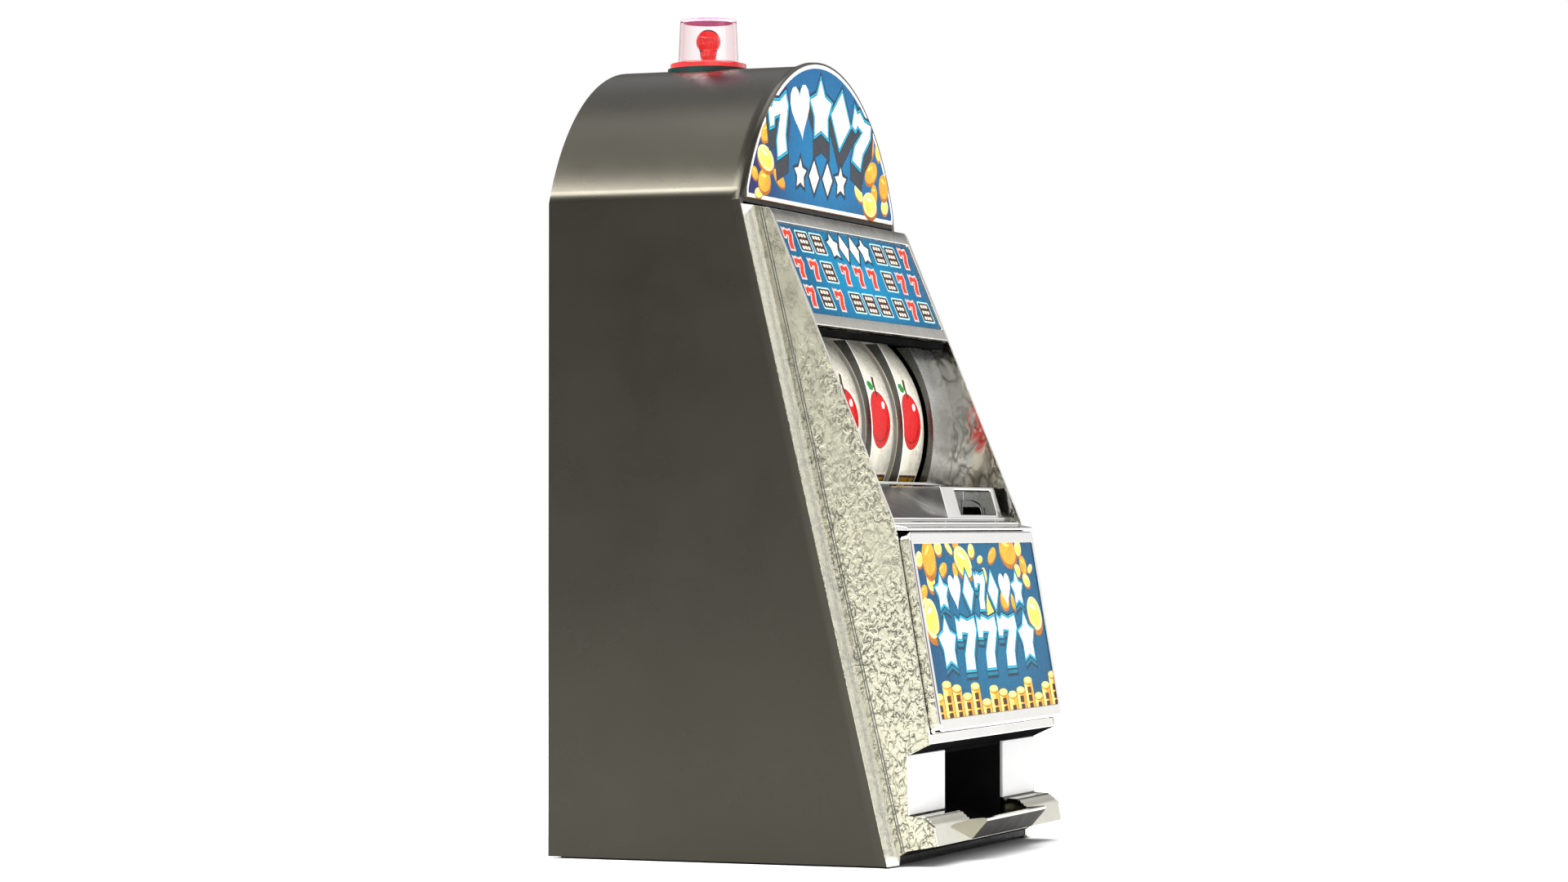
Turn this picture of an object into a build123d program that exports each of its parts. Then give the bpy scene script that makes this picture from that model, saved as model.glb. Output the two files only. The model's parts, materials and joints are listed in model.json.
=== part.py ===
"""Toy slot-machine savings bank: an arched cabinet with a sloping front, three reels, a side lever,
a coin slot, a payout tray and a lamp on top. Millimetres, +Z up, +X to the machine's lever side,
-Y to its front. The origin is the middle of the base plate's underside, where the bank stands."""

import os
from math import cos, hypot, pi, sin, sqrt

from build123d import *

os.makedirs("parts", exist_ok=True)

# ---- driving dimensions ----

# Cabinet
TOTAL_HEIGHT = 375.0
HALF_WIDTH = 96.8
REAR_Y = 79.0
FOOT_FRONT_Y = -78.4
SHOULDER_Z = 285.0
SHOULDER_FRONT_Y = -11.2
DOME_RADIUS = 103.9
DOME_APEX_Z = 351.7
WALL = 2.2
GROUND_GAP = 0.8
LIP_DEPTH = 5.0
SIDE_FLARE = 1.5
DOME_FLARE = 1.6

# Front mouldings between the cabinet's sloping edges
CHEEK_X = 88.0
CHEEK_WALL = 1.8
FASCIA_X = CHEEK_X - CHEEK_WALL
RIM_STEP = 2.1
CHEEK_FRONT = [
    (-13.3, 283.1),
    (-20.5, 281.9),
    (-22.0, 279.3),
    (-42.3, 231.2),
    (-77.9, 146.2),
    (-79.0, 141.0),
    (-93.6, 56.4),
    (-94.0, 52.2),
    (-83.7, 47.6),
    (-84.4, 21.7),
    (-91.0, 20.8),
    (-95.8, 17.1),
    (-97.2, 9.2),
    (-83.7, 6.8),
    (-80.0, 4.3),
    (-80.0, 1.5),
    (-79.3, 0.8),
]

# Pay table, a panel that leans back
PAY_TOP = (-22.0, 279.3)
PAY_FOOT = (-42.3, 231.2)
PAY_DEPTH = 3.2
PAY_RECESS = 1.2
PAY_ART_HEIGHT = 43.3
PANEL_THICK = 1.2

# Belly glass and its frame
BELLY_TOP = (-83.8, 142.6)
BELLY_FOOT = (-98.5, 57.3)
BELLY_HALF_WIDTH = 85.4
BELLY_DEPTH = 8.0
BELLY_ART = (164.0, 75.4)

# Reels and the curved mask in front of them
REEL_Y = 14.0
REEL_Z = 187.5
REEL_RADIUS = 55.2
REEL_WIDTH = 36.0
REEL_PITCH = 41.3
REEL_MIDDLE_X = -4.4
MASK_Y = 28.0
MASK_Z = 186.0
MASK_RADIUS = 73.3
MASK_TOP_Z = 229.0
MASK_FOOT_Z = 163.4
FIN = 1.2
AXLE_RADIUS = 2.5
RUNNING_FIT = 0.05

# Lever on the right-hand side
LEVER_Y = 14.0
LEVER_Z = 118.0
SHAFT_RADIUS = 4.0
KNOB_RADIUS = 14.0
KNOB_Z = 252.0
ARM_X = 113.6

# Topper sign, standing upright in front of the dome
SIGN_RADIUS = 100.3
SIGN_CENTRE_Z = 251.9
SIGN_HALF_WIDTH = 92.6
SIGN_FOOT_Z = 286.5
SIGN_FRONT_Y = -12.6

# Lamp on the dome
LAMP_Y = 43.3
LAMP_FLANGE_RADIUS = 17.3
LAMP_FLANGE_Z = (352.5, 355.5)
LENS_FOOT_RADIUS = 13.7
LENS_TOP_RADIUS = 12.8
LENS_WALL = 1.2
BULB_RADIUS = 5.6
BULB_Z = 365.2

# Rear cover and its doors
COVER_Y = 76.7
COVER_THICK = 2.6
COVER_GAP = 0.2
DOOR_GAP = 0.4
DOOR_HINGE_X = -46.0
DOOR_FAR_X = 46.0
DOOR_LOW_Z = 14.0
DOOR_HIGH_Z = 68.0
BATTERY_HALF_WIDTH = 28.0
BATTERY_LOW_Z = 93.0
BATTERY_HIGH_Z = 138.0

# Payout
PAYOUT_HALF_WIDTH = 40.0
PAYOUT_TOP_Z = 47.6
PAYOUT_FOOT_Z = 22.0
PAYOUT_FACE_Y = -84.3
FLAP_Y = -52.0
FLAP_Z = 42.5
FLAP_FOOT_Z = 22.6
FLAP_PIN_RADIUS = 1.25

SCREW_RADIUS = 1.5
HEAD_RADIUS = 2.9

reel_centres = [REEL_MIDDLE_X + (n - 1) * REEL_PITCH for n in range(3)]
window_left_x = REEL_MIDDLE_X - 1.5 * REEL_PITCH + FIN / 2
window_right_x = REEL_MIDDLE_X + 1.5 * REEL_PITCH - FIN / 2
dome_centre_z = DOME_APEX_Z - DOME_RADIUS


# ---- helpers ----


def at_x(x):
    return Plane.YZ.offset(x)


def at_y(y):
    """A plane facing the front, so that a positive extrusion runs towards -Y."""
    return Plane.XZ.offset(-y)


def at_z(z):
    return Plane.XY.offset(z)


def outline(plane, points):
    """A flat face with straight sides."""
    with BuildSketch(plane) as face:
        with BuildLine():
            Polyline(*points, close=True)
        make_face()
    return face.sketch


def block(x, y, z):
    """A box between two limits on each axis."""
    with BuildSketch(at_z(z[0])) as foot:
        with Locations(((x[0] + x[1]) / 2, (y[0] + y[1]) / 2)):
            Rectangle(x[1] - x[0], y[1] - y[0])
    return extrude(foot.sketch, amount=z[1] - z[0], mode=Mode.PRIVATE)


def disc(plane, radius, length, bore=0.0):
    """A round bar on the plane's origin, with an optional bore."""
    with BuildSketch(plane) as ring:
        Circle(radius)
        if bore:
            Circle(bore, mode=Mode.SUBTRACT)
    return extrude(ring.sketch, amount=length, mode=Mode.PRIVATE)


def axis_plane(x, y, z):
    """A plane across the X axis through a point, for round parts that lie along X."""
    return Plane(origin=(x, y, z), x_dir=(0, 1, 0), z_dir=(1, 0, 0))


def rear_plane(x, y, z):
    """A plane facing the front through a point, for round parts that lie along Y."""
    return Plane(origin=(x, y, z), x_dir=(1, 0, 0), z_dir=(0, -1, 0))


def front_edge_y(z):
    """The cabinet's sloping front edge at a height."""
    return FOOT_FRONT_Y + (SHOULDER_FRONT_Y - FOOT_FRONT_Y) * z / SHOULDER_Z


def arch(plane, inset, foot_z):
    """The cabinet's front outline: straight sides under a round dome, drawn in by an inset."""
    side = HALF_WIDTH - inset
    radius = DOME_RADIUS - inset
    spring_z = dome_centre_z + sqrt(radius**2 - side**2)
    with BuildSketch(plane) as face:
        with BuildLine():
            Polyline((-side, spring_z), (-side, foot_z), (side, foot_z), (side, spring_z))
            ThreePointArc((side, spring_z), (0, dome_centre_z + radius), (-side, spring_z))
        make_face()
    return face.sketch


def sign_outline(plane, inset, drop=0.0):
    """The topper's outline: a round-topped segment with short upright ends."""
    side = SIGN_HALF_WIDTH - inset
    radius = SIGN_RADIUS - inset
    foot_z = SIGN_FOOT_Z + inset - drop
    spring_z = SIGN_CENTRE_Z + sqrt(radius**2 - side**2)
    with BuildSketch(plane) as face:
        with BuildLine():
            Polyline((-side, spring_z), (-side, foot_z), (side, foot_z), (side, spring_z))
            ThreePointArc((side, spring_z), (0, SIGN_CENTRE_Z + radius), (-side, spring_z))
        make_face()
    return face.sketch


def leaning_plane(top, foot, share=0.5):
    """A plane on a sloping front face, X across and local Y up the slope."""
    y = top[0] + (foot[0] - top[0]) * share
    z = top[1] + (foot[1] - top[1]) * share
    rise = top[1] - foot[1]
    lean = top[0] - foot[0]
    return Plane(origin=(0, y, z), x_dir=(1, 0, 0), z_dir=(0, -rise, lean))


def save(part, name):
    part.label = name
    export_step(part, f"parts/{name}.step")


# ---- cabinet ----

front_room = [
    (FOOT_FRONT_Y, 0.0),
    (SHOULDER_FRONT_Y, SHOULDER_Z),
    (SHOULDER_FRONT_Y, TOTAL_HEIGHT),
    (-200.0, TOTAL_HEIGHT),
    (-200.0, 0.0),
]
BOSS_RADIUS = 3.6
BOSS_LENGTH = 12.0
LAMP_HOLE_RADIUS = 8.0
SHAFT_HOLE_RADIUS = 7.0
boss_places = [(side * 91.6, z) for side in (-1, 1) for z in (22.0, 150.0, 262.0)]
cover_front_y = COVER_Y - COVER_THICK
edge_run = (0, SHOULDER_FRONT_Y - FOOT_FRONT_Y, SHOULDER_Z)
edge_length = hypot(edge_run[1], edge_run[2])
BASE_THICK = 4.3
base_screw_places = [(x, y) for x in (-84, 84) for y in (-30, 40)]
SHELF_TOP_Z = 100.0
SHELF_THICK = 2.0
SHELF_Y = (-28.0, 55.0)


def flare_section(outside, flare):
    """The flared lip's section, as (distance behind the front edge, distance out) points."""
    return [(LIP_DEPTH, outside), (0.0, outside + flare), (0.0, outside - 1.0), (LIP_DEPTH, outside - 1.0)]


def side_flare(side):
    section = flare_section(HALF_WIDTH, SIDE_FLARE)
    points = [(side * out, FOOT_FRONT_Y + back) for back, out in section]
    return extrude(outline(at_z(0), points), amount=edge_length, dir=edge_run, mode=Mode.PRIVATE)


def dome_flare():
    section = flare_section(DOME_RADIUS, DOME_FLARE)
    points = [(SHOULDER_FRONT_Y + back, dome_centre_z + out) for back, out in section]
    axis = Axis((0, 0, dome_centre_z), (0, 1, 0))
    ring = revolve(outline(at_x(0), points), axis, mode=Mode.PRIVATE)
    return ring & block((-120, 120), (-60, 60), (SHOULDER_Z, TOTAL_HEIGHT))


with BuildPart() as cabinet_shell:
    extrude(arch(at_y(REAR_Y), 0.0, GROUND_GAP), amount=REAR_Y - FOOT_FRONT_Y)
    extrude(arch(at_y(REAR_Y), WALL, -1.0), amount=200, mode=Mode.SUBTRACT)
    extrude(outline(at_x(0), front_room), amount=HALF_WIDTH * 2, both=True, mode=Mode.SUBTRACT)
    # the narrow flared lip along the front edge
    add(side_flare(-1))
    add(side_flare(1))
    add(dome_flare())
    add(block((-120, 120), (-120, 120), (-10, GROUND_GAP)), mode=Mode.SUBTRACT)
    # ledges inside the walls that carry the mechanism's shelf
    for side in (-1, 1):
        ledge_x = sorted((side * (HALF_WIDTH - WALL - 4), side * (HALF_WIDTH - WALL / 2)))
        add(block(ledge_x, SHELF_Y, (SHELF_TOP_Z - SHELF_THICK - 3, SHELF_TOP_Z - SHELF_THICK)))
    # screw bosses for the rear cover, grown from the side walls
    with BuildSketch(at_y(cover_front_y)) as bosses:
        with Locations(*boss_places):
            Circle(BOSS_RADIUS)
            Circle(SCREW_RADIUS, mode=Mode.SUBTRACT)
    extrude(bosses.sketch, amount=BOSS_LENGTH)
    # corner blocks that the base plate's screws bite into
    for x, y in base_screw_places:
        side = x / abs(x)
        block_x = sorted((x - side * 4, side * (HALF_WIDTH - WALL / 2)))
        add(block(block_x, (y - 5, y + 5), (BASE_THICK + 0.05, 14)))
    with BuildSketch(at_z(BASE_THICK)) as base_pilots:
        with Locations(*base_screw_places):
            Circle(SCREW_RADIUS)
    extrude(base_pilots.sketch, amount=7.0, mode=Mode.SUBTRACT)
    # wire hole under the lamp and bearing hole for the lever's shaft
    with BuildSketch(Plane(origin=(0, LAMP_Y, 340))) as lamp_hole:
        Circle(LAMP_HOLE_RADIUS)
    extrude(lamp_hole.sketch, amount=20, mode=Mode.SUBTRACT)
    with BuildSketch(axis_plane(HALF_WIDTH - 6, LEVER_Y, LEVER_Z)) as shaft_hole:
        Circle(SHAFT_HOLE_RADIUS)
    extrude(shaft_hole.sketch, amount=10, mode=Mode.SUBTRACT)
save(cabinet_shell.part, "cabinet_shell")

# Base plate: closes the bottom and carries a bevelled front foot under the tray
BASE_FRONT_Y = -79.8
BASE_CLEAR = 0.2
PAD_RADIUS = 7.0
PAD_DEPTH = 1.6
base_half = HALF_WIDTH - WALL - BASE_CLEAR
base_slope_y = front_edge_y(BASE_THICK) + 1.0
pad_places = [(x, y) for x in (-80, 80) for y in (-60, 62)]
base_nose = [
    (-60.0, 0.0),
    (BASE_FRONT_Y + 3.6, 0.0),
    (BASE_FRONT_Y, 1.5),
    (BASE_FRONT_Y, BASE_THICK),
    (-60.0, BASE_THICK),
]

with BuildPart() as base_plate:
    add(block((-base_half, base_half), (base_slope_y, COVER_Y - COVER_THICK - 0.2), (0, BASE_THICK)))
    extrude(outline(at_x(0), base_nose), amount=FASCIA_X - 0.1, both=True)
    with BuildSketch(at_z(0)) as pad_seats:
        with Locations(*pad_places):
            Circle(PAD_RADIUS)
    extrude(pad_seats.sketch, amount=PAD_DEPTH, mode=Mode.SUBTRACT)
    with BuildSketch(at_z(0)) as base_holes:
        with Locations(*base_screw_places):
            Circle(SCREW_RADIUS)
    extrude(base_holes.sketch, amount=BASE_THICK, mode=Mode.SUBTRACT)
    with BuildSketch(at_z(0)) as base_sinks:
        with Locations(*base_screw_places):
            Circle(HEAD_RADIUS + 0.1)
    extrude(base_sinks.sketch, amount=2.0, mode=Mode.SUBTRACT)
save(base_plate.part, "base_plate")

with BuildPart() as foot_pads:
    with BuildSketch(at_z(0)) as pads:
        with Locations(*pad_places):
            Circle(PAD_RADIUS - 0.1)
    extrude(pads.sketch, amount=PAD_DEPTH - 0.1)
save(foot_pads.part, "foot_pads")

# ---- cheeks: the side walls of the front, with a sloping rim over the cabinet's edge ----

GROOVE = 0.5
groove_offsets = [(4.3, 4.8), (5.4, 5.9)]
cheek_points = CHEEK_FRONT + [(front_edge_y(z) + 0.1, z) for z in (GROUND_GAP, 283.1)]


def rim_strip():
    """The rim's sloping band, from the cabinet's edge in to the cheek."""
    points = [
        (HALF_WIDTH + SIDE_FLARE - 0.1, FOOT_FRONT_Y),
        (CHEEK_X - 0.5, FOOT_FRONT_Y),
        (CHEEK_X - 0.5, FOOT_FRONT_Y - RIM_STEP),
        (CHEEK_X, FOOT_FRONT_Y - RIM_STEP),
        (HALF_WIDTH + SIDE_FLARE - 0.1, FOOT_FRONT_Y - 0.4),
    ]
    return extrude(outline(at_z(0), points), amount=edge_length, dir=edge_run, mode=Mode.PRIVATE)


def groove_line(back, front):
    """A shallow line that follows the cabinet's edge down the cheek."""
    points = [
        (CHEEK_X - GROOVE, FOOT_FRONT_Y - back),
        (CHEEK_X + 0.5, FOOT_FRONT_Y - back),
        (CHEEK_X + 0.5, FOOT_FRONT_Y - front),
        (CHEEK_X - GROOVE, FOOT_FRONT_Y - front),
    ]
    return extrude(outline(at_z(0), points), amount=edge_length, dir=edge_run, mode=Mode.PRIVATE)


with BuildPart() as right_cheek:
    extrude(outline(at_x(FASCIA_X), cheek_points), amount=CHEEK_WALL)
    add(rim_strip())
    for back, front in groove_offsets:
        add(groove_line(back, front), mode=Mode.SUBTRACT)
    # squared off level with the cheek's top and above the ground
    add(block((80, 100), (-100, 60), (283.1, 300)), mode=Mode.SUBTRACT)
    add(block((80, 100), (-100, 60), (-10, GROUND_GAP)), mode=Mode.SUBTRACT)
save(right_cheek.part, "right_cheek")

left_cheek = mirror(right_cheek.part, about=Plane.YZ)
save(left_cheek, "left_cheek")

# ---- pay table ----

pay_plane = leaning_plane(PAY_TOP, PAY_FOOT)
pay_slope = hypot(PAY_TOP[0] - PAY_FOOT[0], PAY_TOP[1] - PAY_FOOT[1])
PAY_RAIL = 5.6
pay_pocket_y = (PAY_RAIL - (pay_slope - PAY_ART_HEIGHT - PAY_RAIL)) / 2
fascia_gap = 0.05
CAP_BACK_Y = -8.6
cap_points = [
    (CAP_BACK_Y, CHEEK_FRONT[0][1]),
    (CHEEK_FRONT[1][0], CHEEK_FRONT[1][1]),
    (CHEEK_FRONT[2][0], CHEEK_FRONT[2][1]),
    (CHEEK_FRONT[2][0] - 0.3, CHEEK_FRONT[2][1] - 0.8),
    (CHEEK_FRONT[2][0] + 2.6, CHEEK_FRONT[2][1] - 2.0),
    (CAP_BACK_Y, CHEEK_FRONT[0][1] - 2.0),
]

with BuildPart() as paytable_frame:
    with BuildSketch(pay_plane) as pay_outer:
        Rectangle(2 * (FASCIA_X - fascia_gap), pay_slope)
    extrude(pay_outer.sketch, amount=-PAY_DEPTH)
    with BuildSketch(pay_plane) as pay_pocket:
        with Locations((0, pay_pocket_y)):
            Rectangle(2 * (FASCIA_X - 1.4), PAY_ART_HEIGHT)
    extrude(pay_pocket.sketch, amount=-(PAY_RECESS + PANEL_THICK), mode=Mode.SUBTRACT)
    with BuildSketch(pay_plane) as pay_light:
        with Locations((0, pay_pocket_y)):
            Rectangle(2 * (FASCIA_X - 8), PAY_ART_HEIGHT - 8)
    extrude(pay_light.sketch, amount=-PAY_DEPTH, mode=Mode.SUBTRACT)
    extrude(outline(at_x(0), cap_points), amount=FASCIA_X - fascia_gap, both=True)
save(paytable_frame.part, "paytable_frame")

with BuildPart() as paytable_panel:
    with BuildSketch(pay_plane.offset(-PAY_RECESS)) as pay_card:
        with Locations((0, pay_pocket_y)):
            Rectangle(2 * (FASCIA_X - 1.5), PAY_ART_HEIGHT - 0.2)
    extrude(pay_card.sketch, amount=-PANEL_THICK)
save(paytable_panel.part, "paytable_panel")

# A dark strip behind the rail closes the gap down to the reel mask
header_points = [
    (-40.2, 229.8),
    (-40.2, 227.2),
    (-33.0, 227.2),
    (-33.0, 229.8),
]
with BuildPart() as window_header:
    extrude(outline(at_x(0), header_points), amount=FASCIA_X - fascia_gap, both=True)
save(window_header.part, "window_header")

# ---- reel mask: a curved cover with three windows ----

MASK_WALL = 2.0
FIN_CLEAR = 1.5


def mask_y(z, radius):
    return MASK_Y - sqrt(radius**2 - (z - MASK_Z) ** 2)


def reel_y(z, radius):
    return REEL_Y - sqrt(radius**2 - (z - REEL_Z) ** 2)


def mask_section(plane, inner_edge):
    """A slice across the mask: its outer arc, and an inner arc given as a function of height."""
    low, high = MASK_FOOT_Z, MASK_TOP_Z
    middle = (low + high) / 2
    with BuildSketch(plane) as face:
        with BuildLine():
            ThreePointArc(
                (mask_y(high, MASK_RADIUS), high),
                (mask_y(middle, MASK_RADIUS), middle),
                (mask_y(low, MASK_RADIUS), low),
            )
            Line((mask_y(low, MASK_RADIUS), low), (inner_edge(low), low))
            ThreePointArc(
                (inner_edge(low), low), (inner_edge(middle), middle), (inner_edge(high), high)
            )
            Line((inner_edge(high), high), (mask_y(high, MASK_RADIUS), high))
        make_face()
    return face.sketch


def thin_edge(z):
    return mask_y(z, MASK_RADIUS - MASK_WALL)


def fin_edge(z):
    return reel_y(z, REEL_RADIUS + FIN_CLEAR)


fin_lefts = [window_left_x - FIN + n * REEL_PITCH for n in range(4)]
TOP_BAR = 1.8
FOOT_BAR = 1.2
mask_half = FASCIA_X - fascia_gap

with BuildPart() as reel_mask:
    # blank shells beside the windows
    extrude(mask_section(at_x(-mask_half), thin_edge), amount=window_left_x - FIN + mask_half)
    extrude(mask_section(at_x(window_right_x + FIN), thin_edge), amount=mask_half - window_right_x - FIN)
    # upright fins between and beside the windows
    for left in fin_lefts:
        extrude(mask_section(at_x(left), fin_edge), amount=FIN)
    # bars along the top and bottom of the windows
    for low_z, high_z in ((MASK_TOP_Z - TOP_BAR, MASK_TOP_Z), (MASK_FOOT_Z, MASK_FOOT_Z + FOOT_BAR)):
        band = outline(at_x(-mask_half), [(-60, low_z), (20, low_z), (20, high_z), (-60, high_z)])
        extrude(mask_section(at_x(-mask_half), thin_edge) & band, amount=2 * mask_half)
    # the top is trimmed to lie under the dark strip
    add(block((-90, 90), (-42, -20), (227.0, 240)), mode=Mode.SUBTRACT)
save(reel_mask.part, "reel_mask")

# ---- sill under the window, and the coin block that stands on it ----

BLOCK_X = (2.0, 78.0)
BLOCK_TOP_Z = 162.4
BLOCK_FRONT = [(-67.5, BLOCK_TOP_Z), (-71.9, 147.6)]
BLOCK_BACK_Y = -44.2
POCKET_X = (20.0, 72.0)
POCKET_Z = (149.6, 160.6)
POCKET_BACK_Y = -54.5
SLOT_X = (38.0, 68.0)
SLOT_HEIGHT = 3.6
sill_top = [(-42.6, 163.1), (-71.6, 148.4), (-73.4, 148.4), (-73.4, 147.4), (-77.4, 146.4)]
sill_nose = [(-77.4, 145.2), (-83.6, 144.0), (-83.6, 142.8), (-76.6, 142.8)]
sill_under = [(-72.4, 145.6), (-42.6, 160.9)]

with BuildPart() as sill:
    extrude(outline(at_x(0), sill_top + sill_nose + sill_under), amount=FASCIA_X - fascia_gap, both=True)
    add(block(BLOCK_X, (-72.6, -30), (147.5, 170)), mode=Mode.SUBTRACT)
    add(block(BLOCK_X, (-70.0, -30), (140, 170)), mode=Mode.SUBTRACT)
save(sill.part, "sill")

block_points = BLOCK_FRONT + [(BLOCK_BACK_Y, 147.6), (BLOCK_BACK_Y, BLOCK_TOP_Z)]
with BuildPart() as coin_block:
    extrude(outline(at_x(BLOCK_X[0] + 0.05), block_points), amount=BLOCK_X[1] - BLOCK_X[0] - 0.1)
    # the finger pocket, open to the front
    add(block(POCKET_X, (-90, POCKET_BACK_Y), POCKET_Z), mode=Mode.SUBTRACT)
    # the slot through the pocket's back wall, and the hollow behind it
    add(block(SLOT_X, (-60, -30), (POCKET_Z[0], POCKET_Z[0] + SLOT_HEIGHT)), mode=Mode.SUBTRACT)
    add(block((BLOCK_X[0] + 2, POCKET_X[0] - 2), (-64, -30), (140, 160.4)), mode=Mode.SUBTRACT)
    # a shallow relief around the pocket's mouth
    pocket_edges = coin_block.edges().filter_by(Axis.X).filter_by_position(Axis.Z, 160, 161)
    chamfer(pocket_edges.group_by(Axis.Y)[0], 0.7)
save(coin_block.part, "coin_block")

# A thin quarter-round fin in the pocket steers the coin into the slot
GUIDE_RADIUS = 7.0
guide_corner = (70.0, POCKET_BACK_Y, POCKET_Z[0])
with BuildPart() as coin_guide:
    with BuildSketch(Plane(origin=guide_corner, x_dir=(0, -1, 0), z_dir=(1, 0, 0))) as fin:
        with BuildLine():
            Line((0, 0), (GUIDE_RADIUS + 3, 0))
            RadiusArc((GUIDE_RADIUS + 3, 0), (3, -GUIDE_RADIUS), GUIDE_RADIUS)
            Line((3, -GUIDE_RADIUS), (0, -GUIDE_RADIUS))
            Line((0, -GUIDE_RADIUS), (0, 0))
        make_face()
    extrude(fin.sketch, amount=1.2)
save(coin_guide.part, "coin_guide")

# ---- belly glass ----

belly_plane = leaning_plane(BELLY_TOP, BELLY_FOOT)
belly_slope = hypot(BELLY_TOP[0] - BELLY_FOOT[0], BELLY_TOP[1] - BELLY_FOOT[1])
BELLY_CORNER = 4.0
BELLY_RECESS = 0.6
BELLY_PANEL_THICK = 1.5

with BuildPart() as belly_frame:
    with BuildSketch(belly_plane) as belly_outer:
        RectangleRounded(2 * BELLY_HALF_WIDTH, belly_slope, BELLY_CORNER)
    extrude(belly_outer.sketch, amount=-BELLY_DEPTH)
    fillet(belly_frame.faces().sort_by(Axis.Y)[0].outer_wire().edges(), 1.2)
    with BuildSketch(belly_plane) as belly_hole:
        Rectangle(*BELLY_ART)
    extrude(belly_hole.sketch, amount=-BELLY_DEPTH, mode=Mode.SUBTRACT)
    with BuildSketch(belly_plane.offset(-BELLY_RECESS)) as belly_seat:
        Rectangle(BELLY_ART[0] + 2.4, BELLY_ART[1] + 2.4)
    extrude(belly_seat.sketch, amount=-BELLY_DEPTH, mode=Mode.SUBTRACT)
save(belly_frame.part, "belly_frame")

with BuildPart() as belly_panel:
    with BuildSketch(belly_plane.offset(-BELLY_RECESS)) as belly_card:
        Rectangle(BELLY_ART[0] + 2.2, BELLY_ART[1] + 2.2)
    extrude(belly_card.sketch, amount=-BELLY_PANEL_THICK)
save(belly_panel.part, "belly_panel")

# The lip below the frame turns back under it to the payout recess
lip_points = [
    (-90.3, 55.8),
    (-93.4, 56.3),
    (-94.0, 52.2),
    (PAYOUT_FACE_Y, PAYOUT_TOP_Z),
    (PAYOUT_FACE_Y + 4, PAYOUT_TOP_Z),
    (PAYOUT_FACE_Y + 4, 49.6),
    (-90.3, 53.6),
]
with BuildPart() as belly_lip:
    extrude(outline(at_x(0), lip_points), amount=FASCIA_X - fascia_gap, both=True)
    fillet(belly_lip.edges().filter_by(Axis.X).sort_by(Axis.Y)[0], 0.9)
save(belly_lip.part, "belly_lip")

# ---- payout recess ----

PAYOUT_WALL = 1.5
payout_depth = (PAYOUT_FACE_Y, PAYOUT_FACE_Y + PAYOUT_WALL)
payout_rise = (PAYOUT_FOOT_Z, PAYOUT_TOP_Z - 0.1)
with BuildPart() as payout_panels:
    add(block((PAYOUT_HALF_WIDTH, FASCIA_X - fascia_gap), payout_depth, payout_rise))
    mirror(about=Plane.YZ)
save(payout_panels.part, "payout_panels")

# The dark channel behind the opening, with a floor that slopes to the tray
CHUTE_BACK_Y = -34.0
CHUTE_WALL = 1.5
chute_top = PAYOUT_TOP_Z - 0.1
chute_front_y = PAYOUT_FACE_Y + PAYOUT_WALL + 0.1
chute_side = [
    (chute_front_y, 9.6),
    (CHUTE_BACK_Y, 26.0),
    (CHUTE_BACK_Y, chute_top),
    (chute_front_y, chute_top),
]
chute_room = [
    (chute_front_y - 5, 9.6 + CHUTE_WALL - 1.6),
    (CHUTE_BACK_Y + 5, 26.0 + CHUTE_WALL + 1.6),
    (CHUTE_BACK_Y + 5, chute_top - CHUTE_WALL),
    (chute_front_y - 5, chute_top - CHUTE_WALL),
]
with BuildPart() as payout_chute:
    extrude(outline(at_x(0), chute_side), amount=PAYOUT_HALF_WIDTH + CHUTE_WALL, both=True)
    extrude(outline(at_x(0), chute_room), amount=PAYOUT_HALF_WIDTH, both=True, mode=Mode.SUBTRACT)
    # holes in the side walls for the flap's pin
    with BuildSketch(axis_plane(-60, FLAP_Y, FLAP_Z)) as pin_holes:
        Circle(FLAP_PIN_RADIUS)
    extrude(pin_holes.sketch, amount=120, mode=Mode.SUBTRACT)
save(payout_chute.part, "payout_chute")

# ---- coin tray: a wing at each side and a scooped middle with a spout lip ----

TRAY_LIP_X = 42.0
wing_top = [(PAYOUT_FACE_Y, 21.9), (-85.6, 20.6), (-86.9, 21.6), (-91.0, 21.4)]
wing_nose = [(-95.8, 17.3), (-97.2, 9.2), (-83.7, 6.8), (-80.2, 4.6)]
wing_ribs = [(-91.9, 20.5), (-92.4, 20.9), (-93.2, 19.4), (-93.7, 19.8), (-94.6, 18.2), (-95.1, 18.6)]
tray_points = wing_top + wing_ribs + wing_nose + [(-80.2, 8.0), (PAYOUT_FACE_Y, 9.0)]
bowl_points = [
    (-80.0, 60.0),
    (-80.0, 11.6),
    (PAYOUT_FACE_Y, 11.6),
    (-96.0, 10.8),
    (-110.0, 27.0),
    (-110.0, 60.0),
]
spout_points = [
    (-90.0, 8.1),
    (-97.2, 9.2),
    (-104.2, 17.2),
    (-104.2, 18.3),
    (-102.6, 18.6),
    (-95.9, 10.9),
    (-90.0, 11.3),
]
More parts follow.
